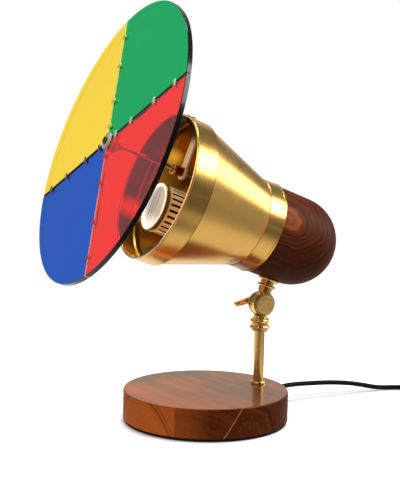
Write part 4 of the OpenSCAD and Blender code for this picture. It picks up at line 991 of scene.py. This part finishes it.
class LAMP_OT_cord(bpy.types.Operator):
    """Power cord with its coil, tie, plug and strain relief"""

    bl_idname = "lamp.cord"
    bl_label = "Lay the cord"

    def execute(self, context):
        size = sizes()
        sheath = moulded("cord sheath", colours().sheath, 0.30, pebble=1400.0, shine=0.06)
        plug = self.mould_plug(size, sheath)
        self.mould_relief(size, sheath)
        tie = self.wrap_tie(size)
        cord = self.lay_cord(context, size, sheath)
        dress(plated_metal("plug blades", (0.72, 0.7, 0.66), 0.22), "plug_blades")
        dress(moulded("switch case", (0.010, 0.010, 0.011), 0.3), "switch_body")
        dress(moulded("switch rocker", (0.05, 0.05, 0.052), 0.25), "switch_rocker")
        return {"FINISHED"}

    def exit_point(self, size, further=0.0):
        reach = size.relief_tip + further
        return (reach * math.cos(size.relief_angle), reach * math.sin(size.relief_angle), size.relief_height)

    def lay_cord(self, context, size, sheath):
        whole, step_angle = 360.0 * size.coil_turns, 15.0
        straight_out = 0.006
        last = CORD_ROUTE[-1]
        turns = [coil_point(step_angle * step) for step in range(1, int(whole / step_angle))]
        end = coil_point(whole)
        points = [self.exit_point(size), self.exit_point(size, straight_out), *CORD_ROUTE]
        points += [(last[0], size.coil_y, size.coil_low), *turns]
        points += [(end[0], size.coil_y, end[2]), (end[0], last[1], end[2])]
        data = bpy.data.curves.new("mains_lead", "CURVE")
        data.dimensions = "3D"
        data.bevel_depth = size.cord_diameter / 2
        data.bevel_resolution = 5
        data.resolution_u = 4
        data.use_fill_caps = True
        spline = data.splines.new("BEZIER")
        spline.bezier_points.add(len(points) - 1)
        for knot, point in zip(spline.bezier_points, points):
            knot.co = point
            knot.handle_left_type = "AUTO"
            knot.handle_right_type = "AUTO"
        data.materials.append(sheath)
        cord = bpy.data.objects.new("mains_lead", data)
        context.scene.collection.objects.link(cord)
        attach(cord, "base")
        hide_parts("power_cord", "cord_coil")
        return cord

    def mould_plug(self, size, sheath):
        """A plug with a grooved neck that widens to the body, and a waist to hold the body by."""
        low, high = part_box("plug_body")
        middle = (low + high) / 2
        half = (high - low) / 2
        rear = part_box("plug_blades")[0].y - size.plug_length
        neck_steps, neck_radius, neck_growth, groove = 24, 0.0034, 0.0021, 0.0004
        sections = []
        for step in range(neck_steps + 1):
            share = step / neck_steps
            grooved = step % 4 in (1, 2) and 2 < step < neck_steps - 1
            radius = neck_radius + neck_growth * share - (groove if grooved else 0.0)
            sections.append((low.y + (rear - low.y) * share, radius, radius, radius))
        # Along the body: way from its rear, and shares of its half width and half height
        body_corner = 0.0049
        body = [(0.0004, 0.66, 0.70), (0.0022, 0.90, 0.92), (0.0045, 1.0, 1.0), (0.0090, 0.95, 1.0)]
        body += [(0.0150, 0.90, 0.98), (0.0210, 0.94, 1.0), (0.0255, 1.0, 1.0)]
        body += [(size.plug_length - 0.001, 1.0, 1.0), (size.plug_length, 0.96, 0.95)]
        for ahead, wide, tall in body:
            sections.append((rear + ahead, half.x * wide, half.z * tall, body_corner))
        rings = []
        for y, w, h, corner in sections:
            loop = rounded_loop(w, h, min(corner, w, h))
            rings.append([(middle.x + u, y, middle.z + v) for u, v in loop])
        return piece("moulded_plug", loft(rings), "base", [sheath], ["plug_body"])

    def mould_relief(self, size, sheath):
        """A ribbed sleeve that tapers along the cord, with a stub in the base and a flange against it."""
        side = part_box("base_block")[1].x
        bore = size.cord_diameter / 2 - 0.0001
        stub_radius, stub_start = 0.0046, side - 0.010
        flange_radius, flange_end, flange_round = 0.0070, side + 0.0025, 0.0006
        sleeve_radius, taper, sleeve_start, tip_radius = 0.0054, 0.0018, side + 0.0030, 0.0034
        ribs, groove = 6, 0.0006
        outline = [(bore, stub_start), (stub_radius, stub_start), (stub_radius, side)]
        outline += [(flange_radius, side), (flange_radius, flange_end - flange_round)]
        outline += [(flange_radius - flange_round, flange_end), (sleeve_radius, flange_end + 0.0001)]
        for rib in range(ribs):
            for share, deep in ((0.0, 0.0), (0.55, 0.0), (0.65, groove), (0.9, groove)):
                along = (rib + share) / ribs
                reach = sleeve_start + (size.relief_tip - sleeve_start) * along
                outline.append((sleeve_radius - taper * along - deep, reach))
        outline += [(tip_radius, size.relief_tip), (bore, size.relief_tip)]
        place = Matrix.Rotation(size.relief_angle, 4, "Z")
        place = place @ Matrix.Translation((0.0, 0.0, size.relief_height))
        sleeve = turned(outline, place @ Matrix.Rotation(QUARTER_TURN, 4, "Y"), 48)
        return piece("ribbed_strain_relief", sleeve, "base", [sheath], ["cord_gland"])

    def wrap_tie(self, size):
        """A flat band with rounded edges, wrapped round the coil."""
        low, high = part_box("cord_tie")
        middle = (low + high) / 2
        half = (high - low) / 2
        edge, corner = 0.00025, 0.0030
        thick = size.tie_depth
        side = size.tie_width / 2
        profile = [(-side + edge, 0.0), (side - edge, 0.0), (side, edge), (side, thick - edge)]
        profile += [(side - edge, thick), (-side + edge, thick), (-side, thick - edge), (-side, edge)]
        rows = []
        for along, inset in profile:
            loop = rounded_loop(half.y - inset, half.z - inset, corner - inset, 8)
            rows.append([(middle.x + along, middle.y + u, middle.z + v) for u, v in loop])
        return piece("woven_tie", loft(rows, closed=True), "base", [woven_tie()], ["cord_tie"])


class LAMP_OT_base(bpy.types.Operator):
    """Wooden base, its foot, ballast and post"""

    bl_idname = "lamp.base"
    bl_label = "Finish the base"

    def execute(self, context):
        dress(base_wood(), "base_block")
        dress(moulded("foot rubber", (0.004, 0.004, 0.004), 0.6, pebble=1100.0, shine=0.1), "foot_pad")
        dress(moulded("ballast iron", (0.05, 0.05, 0.052), 0.5, pebble=700.0), "ballast_disc")
        dress(plated_metal("base cover plate", (0.62, 0.62, 0.60), 0.3), "base_cover")
        fixings = plated_metal("base fixings", (0.55, 0.54, 0.52), 0.26)
        dress(fixings, "cover_screws", "post_washer", "post_nut")
        dress(bright_brass("post brass", (900.0, 900.0, 12.0), 0.20), "post_tube", "post_flange")
        dress(moulded("inner lead", (0.015, 0.015, 0.016), 0.4), "base_lead", "head_leads")
        return {"FINISHED"}


class LAMP_OT_knuckle(bpy.types.Operator):
    """Polished knuckle with its bolt and lever"""

    bl_idname = "lamp.knuckle"
    bl_label = "Finish the knuckle"

    def execute(self, context):
        fine = (300.0, 300.0, 300.0)
        brass = bright_brass("knuckle brass", fine, 0.08)
        dress(brass, "lower_knuckle", "upper_knuckle", "lever_washer", "clamp_lever", "neck_flange")
        dress(plated_metal("bolt brass", colours().bright_brass, 0.35, fine, metal=0.6), "pivot_bolt")
        dress(plated_metal("knuckle fixings", (0.16, 0.15, 0.15), 0.3), "swivel_screw", "neck_nut")
        dress(moulded("friction washer", (0.72, 0.70, 0.64), 0.4), "friction_washer")
        return {"FINISHED"}


class LAMP_OT_shade(bpy.types.Operator):
    """Brass shade with its wooden rear housing"""

    bl_idname = "lamp.shade"
    bl_label = "Finish the shade"

    def execute(self, context):
        dress(satin_brass(), "rim_band", "shade_cone", "rear_collar")
        dress(rear_wood(), "wood_housing")
        dress(plated_metal("inner plate", (0.66, 0.64, 0.60), 0.3), "bulkhead_plate", "holder_bracket")
        dress(plated_metal("inner fixings", (0.5, 0.48, 0.45), 0.28), "shade_screws", "bracket_screws")
        dress(plated_metal("strap screws", (0.06, 0.05, 0.045), 0.3), "strap_screws")
        dress(strap_metal(), "bearing_strap")
        dress(bush_bronze(), "shaft_bush")
        return {"FINISHED"}


class LAMP_OT_bulb(bpy.types.Operator):
    """Finned bulb with its lit lens and holder"""

    bl_idname = "lamp.bulb"
    bl_label = "Finish the bulb"

    def execute(self, context):
        dress(bulb_gold(), "bulb_body")
        dress(bezel_white(), "bulb_bezel")
        dress(plated_metal("bulb cup", (0.9, 0.9, 0.88), 0.1), "bulb_reflector")
        dress(plated_metal("bulb pins", (0.8, 0.78, 0.72), 0.25), "bulb_pins")
        dress(moulded("lamp holder", (0.82, 0.80, 0.74), 0.2, pebble=600.0), "lamp_holder")
        dress(moulded("terminal block", (0.80, 0.79, 0.74), 0.35), "terminal_block")
        self.press_lens()
        return {"FINISHED"}

    def press_lens(self):
        """A slightly domed lens, with a pinhole in its middle where the turned faces meet."""
        size = sizes()
        pinhole, steps = 0.0001, 10
        outline = []
        for step in range(steps + 1):
            share = step / steps
            outline.append((pinhole + size.lens_radius * share, size.lens_crown * share**2))
        outline += [(size.lens_radius, size.lens_depth), (pinhole, size.lens_depth)]
        lens = turned(outline, turned_frame(size.lens_front, -size.lamp_drop), 72)
        piece("ribbed_lens", lens, "head", [bulb_lens_glow()], ["bulb_lens"])


class LAMP_OT_drive(bpy.types.Operator):
    """Motor, gear and shaft inside the shade"""

    bl_idname = "lamp.drive"
    bl_label = "Finish the drive"

    def execute(self, context):
        case = plated_metal("motor case", (0.62, 0.61, 0.58), 0.3)
        dress(case, "motor_can", "motor_plate", "motor_pillars")
        dress(plated_metal("rotor steel", (0.2, 0.2, 0.2), 0.3), "motor_rotor")
        dress(moulded("gear plastic", (0.84, 0.83, 0.78), 0.35), "drive_gear")
        dress(plated_metal("shaft steel", (0.86, 0.72, 0.62), 0.16, (60.0, 900.0, 900.0)), "wheel_shaft")
        return {"FINISHED"}


class LAMP_OT_wheel(bpy.types.Operator):
    """Wheel of four coloured panels with clips and hub"""

    bl_idname = "lamp.wheel"
    bl_label = "Build the wheel"

    def execute(self, context):
        tint = colours()
        # The seams between green and red and between blue and yellow face down, and get the painted shade
        # tone.
        seams = (tint.yellow_seam, tint.dark_seam, tint.red_seam, tint.dark_seam)
        for quarter, name in enumerate(("yellow", "green", "red", "blue")):
            tone = getattr(tint, name)
            # Only the red panel gets the painted reflection glow.
            haze = tint.red_reflection_glow if name == "red" else 0.0
            skins = [panel_glass(f"{name} panel", tone, haze), panel_rim(f"{name} panel rim", tone)]
            for side, edge in (("first", seams[quarter - 1]), ("last", seams[quarter])):
                skins.append(panel_seam(f"{name} panel {side} seam", edge, tone))
            node = f"panel_{name}"
            panel = piece(f"{name}_panel", self.cut_panel(quarter), "wheel", skins, [node], 15.0)
            panel.visible_shadow = False
        dress(clip_metal(), "panel_clips", "hub_spool")
        dress(plated_metal("hub washer", (0.94, 0.85, 0.66), 0.35, metal=0.2), "hub_washer")
        dress(plated_metal("hub screw", (0.16, 0.15, 0.12), 0.3), "hub_screw")
        return {"FINISHED"}

    def cut_panel(self, quarter):
        """A quarter of the wheel with bevelled edges: faces tint, the round edge is black, seams are sawn."""
        size = sizes()
        rim_steps, bore_steps = 72, 10
        outline = []
        for radius, way, count in ((size.wheel_radius, 1, rim_steps), (size.panel_bore, -1, bore_steps)):
            margin = math.asin(size.seam_gap / 2 / radius)
            arc = [margin + (QUARTER_TURN - 2 * margin) * step / count for step in range(count + 1)]
            outline += [(radius * math.cos(turn), radius * math.sin(turn)) for turn in arc[::way]]
        mesh = bmesh.new()
        front = mesh.faces.new([mesh.verts.new((x, y, 0.0)) for x, y in outline])
        raised = bmesh.ops.extrude_face_region(mesh, geom=[front])["geom"]
        moved = [part for part in raised if isinstance(part, bmesh.types.BMVert)]
        bmesh.ops.translate(mesh, verts=moved, vec=(0.0, 0.0, size.panel_depth))
        brink = [edge for edge in mesh.edges if abs(edge.verts[0].co.z - edge.verts[1].co.z) < 1e-6]
        bmesh.ops.bevel(mesh, geom=brink, offset=size.panel_bevel, segments=2, affect="EDGES", profile=0.5)
        bmesh.ops.recalc_face_normals(mesh, faces=mesh.faces)
        for face in mesh.faces:
            middle = face.calc_center_median()
            if abs(face.normal.z) > 0.999:
                face.material_index = 0
            elif math.hypot(middle.x, middle.y) > size.wheel_radius - 2 * size.panel_bevel:
                face.material_index = 1
            else:
                face.material_index = 2 if middle.y < middle.x else 3
        mesh.transform(wheel_frame() @ Matrix.Rotation(quarter * QUARTER_TURN, 4, "Z"))
        return mesh


class LAMP_PT_panel(bpy.types.Panel):
    """Lists the lamp's operators and settings"""

    bl_idname = "LAMP_PT_panel"
    bl_label = "Color wheel light"
    bl_space_type = "VIEW_3D"
    bl_region_type = "UI"
    bl_category = "Lamp"

    def draw(self, context):
        for operator in OPERATORS:
            self.layout.operator(operator.bl_idname)
        for group in (context.scene.lamp_sizes, context.scene.lamp_colours, context.scene.lamp_studio):
            box = self.layout.box()
            for key in group.__annotations__:
                box.prop(group, key)


OPERATORS = (
    LAMP_OT_stage,
    LAMP_OT_cord,
    LAMP_OT_base,
    LAMP_OT_knuckle,
    LAMP_OT_shade,
    LAMP_OT_bulb,
    LAMP_OT_drive,
    LAMP_OT_wheel,
)
CLASSES = (LampSizes, LampColours, StudioSettings, *OPERATORS, LAMP_PT_panel)


def register():
    for cls in CLASSES:
        bpy.utils.register_class(cls)
    bpy.types.Scene.lamp_sizes = PointerProperty(type=LampSizes)
    bpy.types.Scene.lamp_colours = PointerProperty(type=LampColours)
    bpy.types.Scene.lamp_studio = PointerProperty(type=StudioSettings)


def unregister():
    del bpy.types.Scene.lamp_studio
    del bpy.types.Scene.lamp_colours
    del bpy.types.Scene.lamp_sizes
    for cls in reversed(CLASSES):
        bpy.utils.unregister_class(cls)


def main():
    register()
    bpy.ops.lamp.stage()
    bpy.ops.lamp.cord()
    bpy.ops.lamp.base()
    bpy.ops.lamp.knuckle()
    bpy.ops.lamp.shade()
    bpy.ops.lamp.bulb()
    bpy.ops.lamp.drive()
    bpy.ops.lamp.wheel()


if __name__ == "__main__":
    main()
